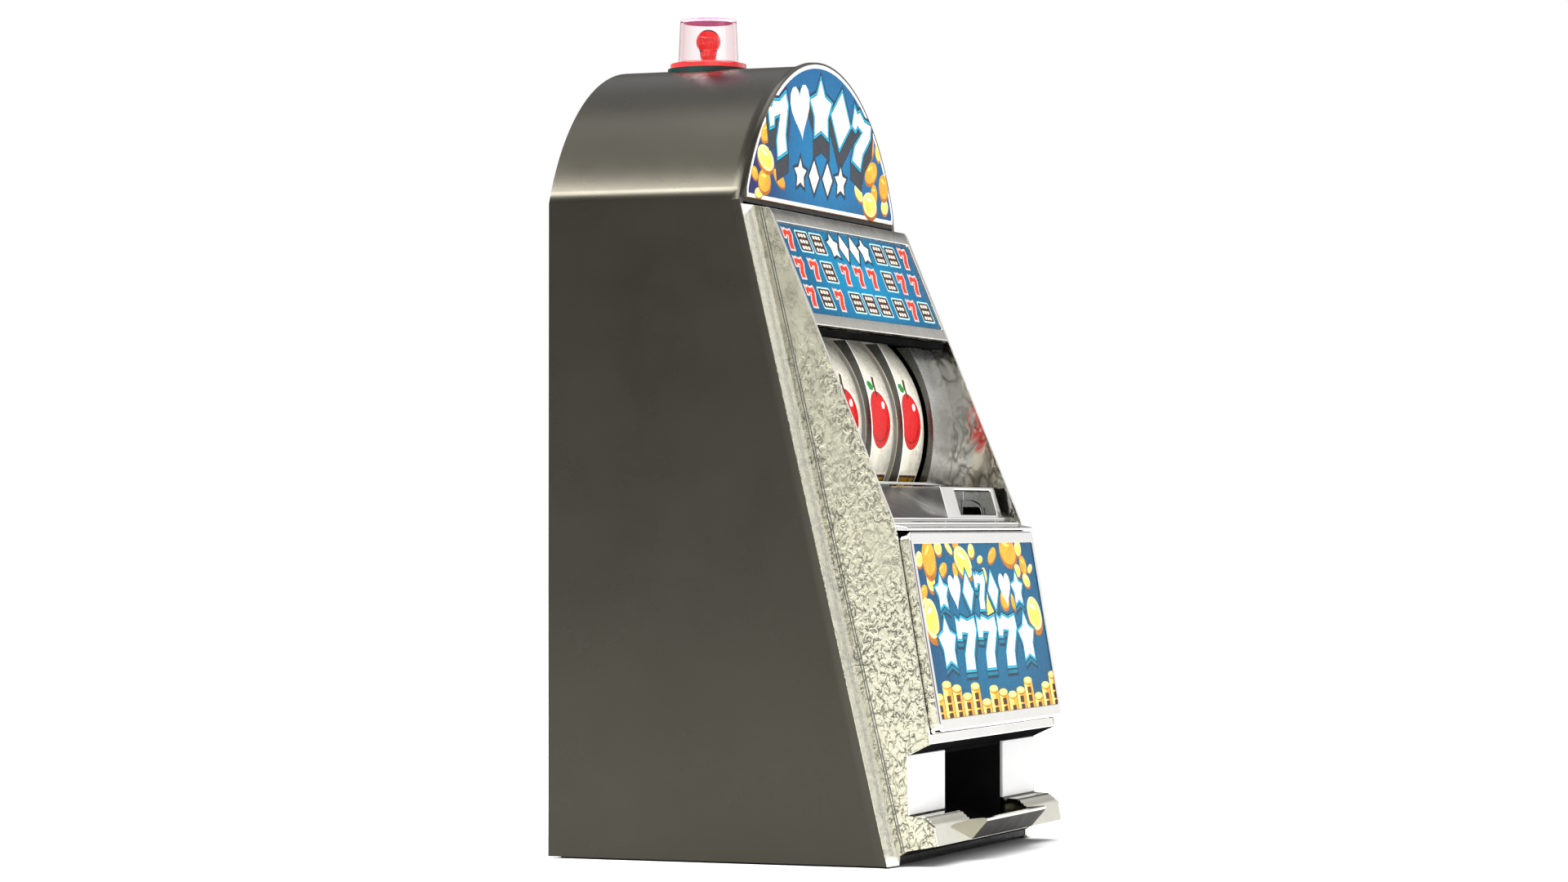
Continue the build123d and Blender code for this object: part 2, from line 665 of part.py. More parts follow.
# the wings are thin bent sheet, open at the ends that face the scoop
wing_room = [(-85.4, 19.2), (-86.6, 20.6), (-90.6, 20.4), (-94.9, 16.7), (-96.1, 10.1), (-85.4, 8.1)]
spout_end = [(-94.0, 17.6), (-94.0, 8.6), (-97.2, 9.2), (-104.2, 17.2), (-104.2, 18.3), (-102.6, 18.6)]
with BuildPart() as coin_tray:
    extrude(outline(at_x(0), tray_points), amount=FASCIA_X - fascia_gap, both=True)
    extrude(outline(at_x(0), wing_room), amount=FASCIA_X - 3.0, both=True, mode=Mode.SUBTRACT)
    extrude(outline(at_x(0), bowl_points), amount=PAYOUT_HALF_WIDTH, both=True, mode=Mode.SUBTRACT)
    add(block((-PAYOUT_HALF_WIDTH, PAYOUT_HALF_WIDTH), (-96.0, PAYOUT_FACE_Y), (8.8, 10.8)))
    extrude(outline(at_x(0), spout_points), amount=TRAY_LIP_X, both=True)
    for side in (-1, 1):
        end_x = sorted((side * PAYOUT_HALF_WIDTH, side * TRAY_LIP_X))
        extrude(outline(at_x(end_x[0]), spout_end), amount=end_x[1] - end_x[0])
save(coin_tray.part, "coin_tray")

# ---- topper ----

SIGN_THICK = 1.4
RIM_PROUD = 1.5
with BuildPart() as topper_rim:
    loft([arch(at_y(SHOULDER_FRONT_Y), -RIM_PROUD, 280.0), sign_outline(at_y(SIGN_FRONT_Y), -1.0, 5.5)])
    add(block((-120, 120), (-60, 60), (200, SIGN_FOOT_Z)), mode=Mode.SUBTRACT)
    extrude(sign_outline(at_y(0), -0.1), amount=40, mode=Mode.SUBTRACT)
save(topper_rim.part, "topper_rim")

with BuildPart() as topper_panel:
    extrude(sign_outline(at_y(SIGN_FRONT_Y + SIGN_THICK), 0.0), amount=SIGN_THICK)
save(topper_panel.part, "topper_panel")

# A dark bulkhead fills the dome behind the sign
BULKHEAD_THICK = 2.4
with BuildPart() as bulkhead:
    extrude(arch(at_y(SHOULDER_FRONT_Y + BULKHEAD_THICK), WALL + 0.1, 284.4), amount=BULKHEAD_THICK)
save(bulkhead.part, "bulkhead")

# ---- lamp ----

GASKET_FOOT_Z = 349.0
gasket_plane = Plane(origin=(0, LAMP_Y, GASKET_FOOT_Z))
gasket_depth = LAMP_FLANGE_Z[0] - GASKET_FOOT_Z
with BuildPart() as lamp_gasket:
    add(disc(gasket_plane, LAMP_FLANGE_RADIUS + 1.2, gasket_depth, 7.0))
    extrude(arch(at_y(100), -0.02, 0), amount=200, mode=Mode.SUBTRACT)
save(lamp_gasket.part, "lamp_gasket")

lens_profile = [
    (0, TOTAL_HEIGHT),
    (LENS_TOP_RADIUS, TOTAL_HEIGHT),
    (LENS_FOOT_RADIUS, LAMP_FLANGE_Z[1]),
    (LAMP_FLANGE_RADIUS, LAMP_FLANGE_Z[1] - 0.6),
    (LAMP_FLANGE_RADIUS, LAMP_FLANGE_Z[0]),
    (LENS_FOOT_RADIUS - LENS_WALL, LAMP_FLANGE_Z[0]),
    (LENS_TOP_RADIUS - LENS_WALL, TOTAL_HEIGHT - LENS_WALL),
    (0, TOTAL_HEIGHT - LENS_WALL),
]
with BuildPart() as lamp_lens:
    revolve(outline(Plane.XZ.offset(-LAMP_Y), lens_profile), Axis((0, LAMP_Y, 0), (0, 0, 1)))
save(lamp_lens.part, "lamp_lens")

SOCKET_RADIUS = 6.0
SOCKET_Z = (333.5, 354.5)
with BuildPart() as lamp_socket:
    add(disc(Plane(origin=(0, LAMP_Y, SOCKET_Z[0])), SOCKET_RADIUS, SOCKET_Z[1] - SOCKET_Z[0]))
    add(disc(Plane(origin=(0, LAMP_Y, SOCKET_Z[0] + 6)), SOCKET_RADIUS + 4, 2.0))
    add(disc(Plane(origin=(0, LAMP_Y, SOCKET_Z[1] - 4)), 3.0, 4.0), mode=Mode.SUBTRACT)
save(lamp_socket.part, "lamp_socket")

bulb_foot_z = SOCKET_Z[1] - 3.8
bulb_neck = sqrt(BULB_RADIUS**2 - 3.7**2)
with BuildPart() as lamp_bulb:
    with BuildSketch(Plane.XZ.offset(-LAMP_Y)) as bulb_half:
        with BuildLine():
            ThreePointArc((0, BULB_Z + BULB_RADIUS), (BULB_RADIUS, BULB_Z), (bulb_neck, BULB_Z - 3.7))
            Polyline((bulb_neck, BULB_Z - 3.7), (2.8, SOCKET_Z[1]), (2.8, bulb_foot_z), (0, bulb_foot_z))
            Line((0, bulb_foot_z), (0, BULB_Z + BULB_RADIUS))
        make_face()
    revolve(bulb_half.sketch, Axis((0, LAMP_Y, 0), (0, 0, 1)))
save(lamp_bulb.part, "lamp_bulb")

# ---- reels ----

RIM_THICK = 1.8
WEB_THICK = 1.6
HUB_RADIUS = 7.0
RATCHET_RADIUS = 50.0
RATCHET_ROOT = 45.0
RATCHET_TEETH = 8
RATCHET_THICK = 1.6
ratchet_offset = REEL_WIDTH / 2 + 0.6


def ratchet_points():
    """Saw teeth round the ratchet: a slow rise, then a straight drop to the root."""
    points = []
    half_way = (RATCHET_ROOT + RATCHET_RADIUS) / 2
    steps = ((0.0, RATCHET_ROOT), (0.5, half_way), (0.94, RATCHET_RADIUS))
    for tooth in range(RATCHET_TEETH):
        for share, radius in steps:
            angle = 2 * pi * (tooth + share) / RATCHET_TEETH
            points.append((radius * cos(angle), radius * sin(angle)))
    return points


def make_reel(centre_x):
    """A drum with a rim, a spoked web and a bored hub."""
    left = centre_x - REEL_WIDTH / 2
    with BuildPart() as reel:
        with BuildSketch(axis_plane(left, REEL_Y, REEL_Z)) as rim:
            Circle(REEL_RADIUS)
            Circle(REEL_RADIUS - RIM_THICK, mode=Mode.SUBTRACT)
        extrude(rim.sketch, amount=REEL_WIDTH)
        with BuildSketch(axis_plane(centre_x - WEB_THICK / 2, REEL_Y, REEL_Z)) as web:
            Circle(REEL_RADIUS - RIM_THICK / 2)
            with PolarLocations(30.5, 6):
                Circle(9.0, mode=Mode.SUBTRACT)
        extrude(web.sketch, amount=WEB_THICK)
        with BuildSketch(axis_plane(left + 1, REEL_Y, REEL_Z)) as hub:
            Circle(HUB_RADIUS)
        extrude(hub.sketch, amount=REEL_WIDTH - 0.4)
        with BuildSketch(axis_plane(left, REEL_Y, REEL_Z)) as bore:
            Circle(AXLE_RADIUS + RUNNING_FIT)
        extrude(bore.sketch, amount=REEL_WIDTH + 2, mode=Mode.SUBTRACT)
    return reel.part


def make_ratchet(centre_x):
    """The toothed disc beside a reel's drum."""
    with BuildPart() as ratchet:
        with BuildSketch(axis_plane(centre_x + ratchet_offset, REEL_Y, REEL_Z)) as disc_face:
            with BuildLine():
                Polyline(*ratchet_points(), close=True)
            make_face()
            Circle(AXLE_RADIUS + RUNNING_FIT, mode=Mode.SUBTRACT)
            with PolarLocations(26, 6):
                Circle(8.0, mode=Mode.SUBTRACT)
        extrude(disc_face.sketch, amount=RATCHET_THICK)
    return ratchet.part


for number, centre_x in enumerate(reel_centres, start=1):
    save(make_reel(centre_x), f"reel_{number}")
    save(make_ratchet(centre_x), f"reel_ratchet_{number}")

# ---- mechanism frame ----

DETENT_WIDTH = 1.8
BAR_TOP_Z = 108.0
detent_lefts = [x + ratchet_offset - 0.1 for x in reel_centres]

PLATE_THICK = 1.5
PLATE_FOOT = 12.0
plate_left_x = reel_centres[0] - REEL_WIDTH / 2 - 5.5
plate_right_x = reel_centres[2] + REEL_WIDTH / 2 + 5.5
shelf_half = HALF_WIDTH - WALL - 0.2
plate_screw_ys = (-2.0, 30.0)

with BuildPart() as mechanism_shelf:
    add(block((-shelf_half, shelf_half), SHELF_Y, (SHELF_TOP_Z - SHELF_THICK, SHELF_TOP_Z)))
    with BuildSketch(at_z(SHELF_TOP_Z - SHELF_THICK)) as shelf_holes:
        for x in (plate_left_x - PLATE_FOOT / 2, plate_right_x + PLATE_THICK + PLATE_FOOT / 2):
            with Locations(*[(x, y) for y in plate_screw_ys]):
                Circle(SCREW_RADIUS)
    extrude(shelf_holes.sketch, amount=SHELF_THICK, mode=Mode.SUBTRACT)
    # the bar that the leaf springs stand on
    add(block((detent_lefts[0] - 6, detent_lefts[2] + 2.2), (49.5, 54.8), (SHELF_TOP_Z, BAR_TOP_Z)))
save(mechanism_shelf.part, "mechanism_shelf")


def make_plate(face_x, foot_side):
    """A steel side plate with a turned-out foot, bored for the reel axle and the lever's shaft."""
    foot_x = (face_x - PLATE_FOOT, face_x) if foot_side < 0 else (face_x, face_x + PLATE_THICK + PLATE_FOOT)
    screw_x = (foot_x[0] + foot_x[1]) / 2 + (0 if foot_side < 0 else PLATE_THICK / 2)
    with BuildPart() as plate:
        with BuildSketch(at_x(face_x)) as web:
            with BuildLine():
                plate_edge = [(-12, SHELF_TOP_Z), (40, SHELF_TOP_Z), (26, REEL_Z), (2, REEL_Z)]
                Polyline(*plate_edge, close=True)
            make_face()
            with Locations((REEL_Y, REEL_Z)):
                Circle(12)
                Circle(AXLE_RADIUS, mode=Mode.SUBTRACT)
            with Locations((LEVER_Y, LEVER_Z)):
                Circle(SHAFT_RADIUS + RUNNING_FIT, mode=Mode.SUBTRACT)
            with Locations((REEL_Y, 152)):
                Circle(9, mode=Mode.SUBTRACT)
        extrude(web.sketch, amount=PLATE_THICK)
        add(block(foot_x, (-12, 40), (SHELF_TOP_Z, SHELF_TOP_Z + PLATE_THICK)))
        with BuildSketch(at_z(SHELF_TOP_Z)) as holes:
            with Locations(*[(screw_x, y) for y in plate_screw_ys]):
                Circle(SCREW_RADIUS)
        extrude(holes.sketch, amount=PLATE_THICK, mode=Mode.SUBTRACT)
    return plate.part


save(make_plate(plate_left_x, -1), "mechanism_plate_left")
save(make_plate(plate_right_x, 1), "mechanism_plate_right")


def screw(plane, length):
    """A screw with its head's top at the plane, its shank running against the plane's normal."""
    shank = disc(plane, SCREW_RADIUS, -length)
    cap = disc(plane, HEAD_RADIUS, 1.6)
    return shank + cap


AXLE_OVER = 4.0
with BuildPart() as reel_axle:
    start_x = plate_left_x - AXLE_OVER
    axle_length = plate_right_x + PLATE_THICK + AXLE_OVER - start_x
    add(disc(axis_plane(start_x, REEL_Y, REEL_Z), AXLE_RADIUS, axle_length))
save(reel_axle.part, "reel_axle")

with BuildPart() as axle_clips:
    for x in (plate_left_x - 1.0, plate_right_x + PLATE_THICK):
        add(disc(axis_plane(x, REEL_Y, REEL_Z), 5.0, 1.0, AXLE_RADIUS))
save(axle_clips.part, "axle_clips")

# Leaf springs stand behind the ratchets, one to each reel
DETENT_Y = 52.2
DETENT_THICK = 0.6
DETENT_TOP_Z = 151.0

with BuildPart() as detent_springs:
    for left in detent_lefts:
        leaf_depth = (DETENT_Y, DETENT_Y + DETENT_THICK)
        add(block((left, left + DETENT_WIDTH), leaf_depth, (BAR_TOP_Z, DETENT_TOP_Z)))
        add(disc(axis_plane(left, DETENT_Y, DETENT_TOP_Z), 0.8, DETENT_WIDTH))
save(detent_springs.part, "detent_springs")

# ---- lever ----

SHAFT_OVER = 2.0
HUB_X = (102.4, 119.6)
HUB_OUTER = 12.5
BOSS_X = (97.0, 101.8)
shaft_start_x = plate_left_x - SHAFT_OVER

with BuildPart() as lever_shaft:
    add(disc(axis_plane(shaft_start_x, LEVER_Y, LEVER_Z), SHAFT_RADIUS, HUB_X[1] - 3 - shaft_start_x))
save(lever_shaft.part, "lever_shaft")

# The escutcheon that the shaft turns in, with a spigot through the cabinet wall
with BuildPart() as lever_boss:
    add(disc(axis_plane(BOSS_X[0], LEVER_Y, LEVER_Z), 20.0, BOSS_X[1] - BOSS_X[0]))
    fillet(lever_boss.faces().sort_by(Axis.X)[-1].edges(), 2.2)
    add(disc(axis_plane(90.0, LEVER_Y, LEVER_Z), SHAFT_HOLE_RADIUS - 0.05, BOSS_X[0] - 90.0))
    with BuildSketch(axis_plane(80.0, LEVER_Y, LEVER_Z)) as boss_bore:
        Circle(SHAFT_RADIUS + RUNNING_FIT)
    extrude(boss_bore.sketch, amount=40, mode=Mode.SUBTRACT)
save(lever_boss.part, "lever_boss")

with BuildPart() as lever_hub:
    add(disc(axis_plane(HUB_X[0], LEVER_Y, LEVER_Z), HUB_OUTER, HUB_X[1] - HUB_X[0]))
    fillet(lever_hub.faces().sort_by(Axis.X)[-1].edges(), 3.0)
    with BuildSketch(axis_plane(HUB_X[0], LEVER_Y, LEVER_Z)) as hub_bore:
        Circle(SHAFT_RADIUS)
    extrude(hub_bore.sketch, amount=HUB_X[1] - 3 - HUB_X[0], mode=Mode.SUBTRACT)
    # socket for the arm
    arm_cut = disc(Plane(origin=(ARM_X, LEVER_Y, LEVER_Z + 7.5)), 4.2, 20)
    add(arm_cut, mode=Mode.SUBTRACT)
save(lever_hub.part, "lever_hub")

ARM_FOOT_RADIUS = 4.2
ARM_TOP_RADIUS = 3.2
arm_top_z = KNOB_Z - KNOB_RADIUS + 10
arm_profile = [
    (ARM_X, LEVER_Z + 7.5),
    (ARM_X + ARM_FOOT_RADIUS, LEVER_Z + 7.5),
    (ARM_X + ARM_FOOT_RADIUS, LEVER_Z + 20),
    (ARM_X + ARM_TOP_RADIUS, LEVER_Z + 60),
    (ARM_X + ARM_TOP_RADIUS, arm_top_z),
    (ARM_X, arm_top_z),
]
with BuildPart() as lever_arm:
    revolve(outline(Plane.XZ.offset(-LEVER_Y), arm_profile), Axis((ARM_X, LEVER_Y, 0), (0, 0, 1)))
save(lever_arm.part, "lever_arm")

with BuildPart() as lever_knob:
    with BuildSketch(Plane.XZ.offset(-LEVER_Y)) as knob_half:
        with BuildLine():
            ThreePointArc(
                (ARM_X, KNOB_Z + KNOB_RADIUS),
                (ARM_X + KNOB_RADIUS, KNOB_Z),
                (ARM_X + 6.0, KNOB_Z - sqrt(KNOB_RADIUS**2 - 36)),
            )
            Line((ARM_X + 6.0, KNOB_Z - sqrt(KNOB_RADIUS**2 - 36)), (ARM_X + 5.0, KNOB_Z - KNOB_RADIUS - 2))
            Polyline(
                (ARM_X + 5.0, KNOB_Z - KNOB_RADIUS - 2),
                (ARM_X + ARM_TOP_RADIUS, KNOB_Z - KNOB_RADIUS - 2),
                (ARM_X + ARM_TOP_RADIUS, arm_top_z),
                (ARM_X, arm_top_z),
                (ARM_X, KNOB_Z + KNOB_RADIUS),
            )
        make_face()
    revolve(knob_half.sketch, Axis((ARM_X, LEVER_Y, 0), (0, 0, 1)))
save(lever_knob.part, "lever_knob")

# Three fingers on the shaft flick the ratchets
FINGER_REACH = 18.4
with BuildPart() as kickers:
    for left in detent_lefts:
        with BuildSketch(axis_plane(left, LEVER_Y, LEVER_Z)) as kicker:
            Circle(7.0)
            with BuildLine():
                Polyline((-3.0, 5.0), (3.0, 5.0), (1.0, FINGER_REACH), (-1.0, FINGER_REACH), close=True)
            make_face()
            Circle(SHAFT_RADIUS, mode=Mode.SUBTRACT)
        extrude(kicker.sketch, amount=DETENT_WIDTH)
save(kickers.part, "kickers")

# Return spring round the shaft, between the right plate and a collar
COLLAR_X = (82.0, 86.0)
SPRING_X = (plate_right_x + PLATE_THICK + 1.2, 81.2)
SPRING_WIRE = 0.8
SPRING_RADIUS = 6.6
with BuildPart() as spring_collar:
    add(disc(axis_plane(COLLAR_X[0], LEVER_Y, LEVER_Z), 8.5, COLLAR_X[1] - COLLAR_X[0], SHAFT_RADIUS))
save(spring_collar.part, "spring_collar")

SPRING_TURNS = 6
with BuildPart() as lever_spring:
    with BuildLine() as coil:
        Helix(
            pitch=(SPRING_X[1] - SPRING_X[0]) / SPRING_TURNS,
            height=SPRING_X[1] - SPRING_X[0],
            radius=SPRING_RADIUS,
            center=(SPRING_X[0], LEVER_Y, LEVER_Z),
            direction=(1, 0, 0),
        )
    with BuildSketch(Plane(origin=coil.line @ 0, z_dir=coil.line % 0)) as wire:
        Circle(SPRING_WIRE)
    sweep(wire.sketch, path=coil.line, is_frenet=True)
save(lever_spring.part, "lever_spring")

# ---- coin path ----

COIN_CHUTE_X = (SLOT_X[0] - 2.0, SLOT_X[1] + 2.0)
COIN_CHUTE_Y = (-43.8, -30.4)
COIN_CHUTE_Z = (58.0, 149.4)
with BuildPart() as coin_chute:
    add(block(COIN_CHUTE_X, COIN_CHUTE_Y, COIN_CHUTE_Z))
    inner_x = (COIN_CHUTE_X[0] + 1.2, COIN_CHUTE_X[1] - 1.2)
    inner_y = (COIN_CHUTE_Y[0] + 1.2, COIN_CHUTE_Y[1] - 1.2)
    add(block(inner_x, inner_y, (0, 200)), mode=Mode.SUBTRACT)
    add(block(COIN_CHUTE_X, (COIN_CHUTE_Y[1] - 0.6, SHELF_Y[0] - 0.1), (SHELF_TOP_Z - 8, SHELF_TOP_Z + 8)))
    add(block(inner_x, inner_y, (0, 200)), mode=Mode.SUBTRACT)
save(coin_chute.part, "coin_chute")

# A flap hangs across the payout channel and swings out when coins drop behind it
with BuildPart() as payout_flap:
    with BuildSketch(at_x(-PAYOUT_HALF_WIDTH + 1.0)) as flap_side:
        with Locations((FLAP_Y, FLAP_Z)):
            Circle(2.6)
        with Locations((FLAP_Y, (FLAP_Z + FLAP_FOOT_Z) / 2)):
            Rectangle(1.8, FLAP_Z - FLAP_FOOT_Z)
        with Locations((FLAP_Y, FLAP_Z)):
            Circle(FLAP_PIN_RADIUS + RUNNING_FIT, mode=Mode.SUBTRACT)
    extrude(flap_side.sketch, amount=2 * PAYOUT_HALF_WIDTH - 2.0)
save(payout_flap.part, "payout_flap")

with BuildPart() as flap_pin:
    pin_half = PAYOUT_HALF_WIDTH + CHUTE_WALL
    add(disc(axis_plane(-pin_half, FLAP_Y, FLAP_Z), FLAP_PIN_RADIUS, 2 * pin_half))
save(flap_pin.part, "flap_pin")

# ---- rear cover, doors and battery box ----

COVER_INSET = WALL + COVER_GAP
EDGE_RADIUS = COVER_THICK / 2
HINGE_PIN_RADIUS = 0.7
hinge_y = COVER_Y - COVER_THICK / 2
RAIL_X = (33.3, 35.6)
RAIL_LIP_X = 31.4
DOOR_LOCK = (37.0, 41.0)
SPEAKER_Z = 272.0
SPEAKER_RADIUS = 22.0

with BuildPart() as rear_cover:
    extrude(arch(at_y(COVER_Y), COVER_INSET, GROUND_GAP), amount=COVER_THICK)
    # openings for the coin door and the batteries
    coin_opening_x = (DOOR_HINGE_X - EDGE_RADIUS - DOOR_GAP, DOOR_FAR_X + DOOR_GAP)
    coin_opening_z = (DOOR_LOW_Z - DOOR_GAP, DOOR_HIGH_Z + DOOR_GAP)
    add(block(coin_opening_x, (60, 90), coin_opening_z), mode=Mode.SUBTRACT)
    battery_x = (-BATTERY_HALF_WIDTH, BATTERY_HALF_WIDTH)
    add(block(battery_x, (60, 90), (BATTERY_LOW_Z + 2, BATTERY_HIGH_Z - 2)), mode=Mode.SUBTRACT)
    # rails that the battery door slides in
    for side in (-1, 1):
        add(block(sorted((side * RAIL_X[0], side * RAIL_X[1])), (COVER_Y, REAR_Y), (86, 142)))
        add(block(sorted((side * RAIL_LIP_X, side * RAIL_X[1])), (REAR_Y - 0.7, REAR_Y), (86, 142)))
    # holes for the cover's screws, the speaker and the door's hinge pin
    with BuildSketch(at_y(COVER_Y)) as cover_holes:
        with Locations(*boss_places):
            Circle(SCREW_RADIUS)
        with Locations((0, SPEAKER_Z)):
            Circle(1.5)
        for ring in (1, 2, 3):
            with Locations((0, SPEAKER_Z)):
                with PolarLocations(5.2 * ring, 6 * ring):
                    Circle(1.5)
    extrude(cover_holes.sketch, amount=COVER_THICK, mode=Mode.SUBTRACT)
    with BuildSketch(Plane(origin=(DOOR_HINGE_X, hinge_y, DOOR_LOW_Z - 6))) as pin_hole:
        Circle(HINGE_PIN_RADIUS)
    extrude(pin_hole.sketch, amount=DOOR_HIGH_Z - DOOR_LOW_Z + 12, mode=Mode.SUBTRACT)
save(rear_cover.part, "rear_cover")

plate_screw_xs = (plate_left_x - PLATE_FOOT / 2, plate_right_x + PLATE_THICK + PLATE_FOOT / 2)
with BuildPart() as screws:
    # through the rear cover into the bosses
    for x, z in boss_places:
        add(screw(Plane(origin=(x, COVER_Y, z), x_dir=(1, 0, 0), z_dir=(0, 1, 0)), BOSS_LENGTH))
    # through the side plates' feet into the shelf
    for x in plate_screw_xs:
        for y in plate_screw_ys:
            add(screw(Plane(origin=(x, y, SHELF_TOP_Z + PLATE_THICK)), PLATE_THICK + SHELF_THICK))
    # up through the base plate, sunk in its underside
    for x, y in base_screw_places:
        add(screw(Plane(origin=(x, y, 1.9), z_dir=(0, 0, -1)), 9.0))
save(screws.part, "screws")

with BuildPart() as coin_door:
    with BuildSketch(at_z(DOOR_LOW_Z)) as door_plan:
        with Locations((DOOR_HINGE_X, hinge_y)):
            Circle(EDGE_RADIUS)
        with Locations(((DOOR_HINGE_X + DOOR_FAR_X) / 2, hinge_y)):
            Rectangle(DOOR_FAR_X - DOOR_HINGE_X, COVER_THICK)
        with Locations((DOOR_HINGE_X, hinge_y)):
            Circle(HINGE_PIN_RADIUS + RUNNING_FIT, mode=Mode.SUBTRACT)
    extrude(door_plan.sketch, amount=DOOR_HIGH_Z - DOOR_LOW_Z)
    with BuildSketch(rear_plane(DOOR_LOCK[0], COVER_Y, DOOR_LOCK[1])) as lock_hole:
        Circle(5.0 + RUNNING_FIT)
    extrude(lock_hole.sketch, amount=COVER_THICK, mode=Mode.SUBTRACT)
save(coin_door.part, "coin_door")

with BuildPart() as door_pin:
    pin_plane = Plane(origin=(DOOR_HINGE_X, hinge_y, DOOR_LOW_Z - 6))
    add(disc(pin_plane, HINGE_PIN_RADIUS, DOOR_HIGH_Z - DOOR_LOW_Z + 12))
save(door_pin.part, "door_pin")

# The lock turns a quarter, and its cam then lies behind the cover's edge
CAM_GAP = 0.4
cam_back_y = COVER_Y - COVER_THICK - CAM_GAP
with BuildPart() as door_lock:
    add(disc(rear_plane(DOOR_LOCK[0], COVER_Y + 1.4, DOOR_LOCK[1]), 7.0, 1.2))
    add(disc(rear_plane(DOOR_LOCK[0], COVER_Y + 0.4, DOOR_LOCK[1]), 5.0, COVER_Y + 0.4 - cam_back_y))
    cam_x = (DOOR_LOCK[0] - 2.6, DOOR_LOCK[0] + 2.6)
    add(block(cam_x, (cam_back_y - 1.8, cam_back_y), (DOOR_LOCK[1] - 4, DOOR_LOCK[1] + 15)))
    add(block((DOOR_LOCK[0] - 0.7, DOOR_LOCK[0] + 0.7), (COVER_Y + 0.5, 90), (30, 52)), mode=Mode.SUBTRACT)
save(door_lock.part, "door_lock")

BATTERY_DOOR_Y = (COVER_Y + 0.15, REAR_Y - 0.85)
with BuildPart() as battery_door:
    add(block((-RAIL_X[0] + 0.2, RAIL_X[0] - 0.2), BATTERY_DOOR_Y, (91.0, 140.0)))
    # finger ridges between the rails
    for n in range(5):
        ridge_z = 128.0 + 2.4 * n
        add(block((-12, 12), (BATTERY_DOOR_Y[1], BATTERY_DOOR_Y[1] + 0.6), (ridge_z, ridge_z + 1.2)))
save(battery_door.part, "battery_door")

CELL_RADIUS = 7.1
CELL_LENGTH = 50.0
CELL_PITCH = 14.6
BOX_WALL = 1.4
box_back_y = COVER_Y - COVER_THICK
box_front_y = box_back_y - 2 * CELL_RADIUS - 3.0
cell_y = box_front_y + BOX_WALL + CELL_RADIUS + 0.2
box_half = CELL_LENGTH / 2 + 2.6
battery_middle_z = (BATTERY_LOW_Z + BATTERY_HIGH_Z) / 2
cell_heights = [battery_middle_z + n * CELL_PITCH for n in (-1, 0, 1)]

BOX_Z = (92.0, 139.0)
box_room_z = (BOX_Z[0] + BOX_WALL, BOX_Z[1] - BOX_WALL)
with BuildPart() as battery_box:
    add(block((-box_half - BOX_WALL, box_half + BOX_WALL), (box_front_y, box_back_y), BOX_Z))
    add(block((-box_half, box_half), (box_front_y + BOX_WALL, 90), box_room_z), mode=Mode.SUBTRACT)
save(battery_box.part, "battery_box")

with BuildPart() as batteries:
    for n, z in enumerate(cell_heights):
        add(disc(axis_plane(-CELL_LENGTH / 2, cell_y, z), CELL_RADIUS, CELL_LENGTH - 1.2))
        add(disc(axis_plane(CELL_LENGTH / 2 - 1.2, cell_y, z), 2.7, 1.2))
save(batteries.part, "batteries")

with BuildPart() as battery_contacts:
    for z in cell_heights:
        for x in (-box_half, box_half - 0.5):
            add(block((x, x + 0.5), (cell_y - 4.5, cell_y + 4.5), (z - 4.5, z + 4.5)))
save(battery_contacts.part, "battery_contacts")

with BuildPart() as speaker:
    add(disc(rear_plane(0, COVER_Y - COVER_THICK, SPEAKER_Z), SPEAKER_RADIUS, 2.0))
    add(disc(rear_plane(0, COVER_Y - COVER_THICK - 2.0, SPEAKER_Z), 12.0, 7.0))
save(speaker.part, "speaker")

# ---- electronics behind the sign ----

BOARD_Z = (296.0, 332.0)
BOARD_HALF = 34.0
board_y = (SHOULDER_FRONT_Y + BULKHEAD_THICK, SHOULDER_FRONT_Y + BULKHEAD_THICK + 4.0)
with BuildPart() as circuit_board:
    add(block((-BOARD_HALF, BOARD_HALF), (board_y[1], board_y[1] + 1.6), BOARD_Z))
    for x in (-BOARD_HALF + 4, BOARD_HALF - 4):
        for z in (BOARD_Z[0] + 4, BOARD_Z[1] - 4):
            add(disc(rear_plane(x, board_y[1], z), 2.5, board_y[1] - board_y[0]))
    # chip, timing crystal and two capacitors on the rear face
    add(block((-10, 10), (board_y[1] + 1.6, board_y[1] + 4.6), (308, 318)))
    for x in (-22, 20):
        add(disc(rear_plane(x, board_y[1] + 11.6, 314), 4.0, 10.0))
save(circuit_board.part, "circuit_board")
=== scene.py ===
"""Looks for the toy slot-machine savings bank: printed cards and reel strips cut from flat shapes,
rounded metal mouldings, a clear lamp, and procedural finishes. Metres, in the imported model's frame."""

import json
from collections import namedtuple
from math import atan2, cos, hypot, pi, radians, sin, sqrt

import bmesh
import bpy
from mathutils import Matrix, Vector
from mathutils.geometry import delaunay_2d_cdt

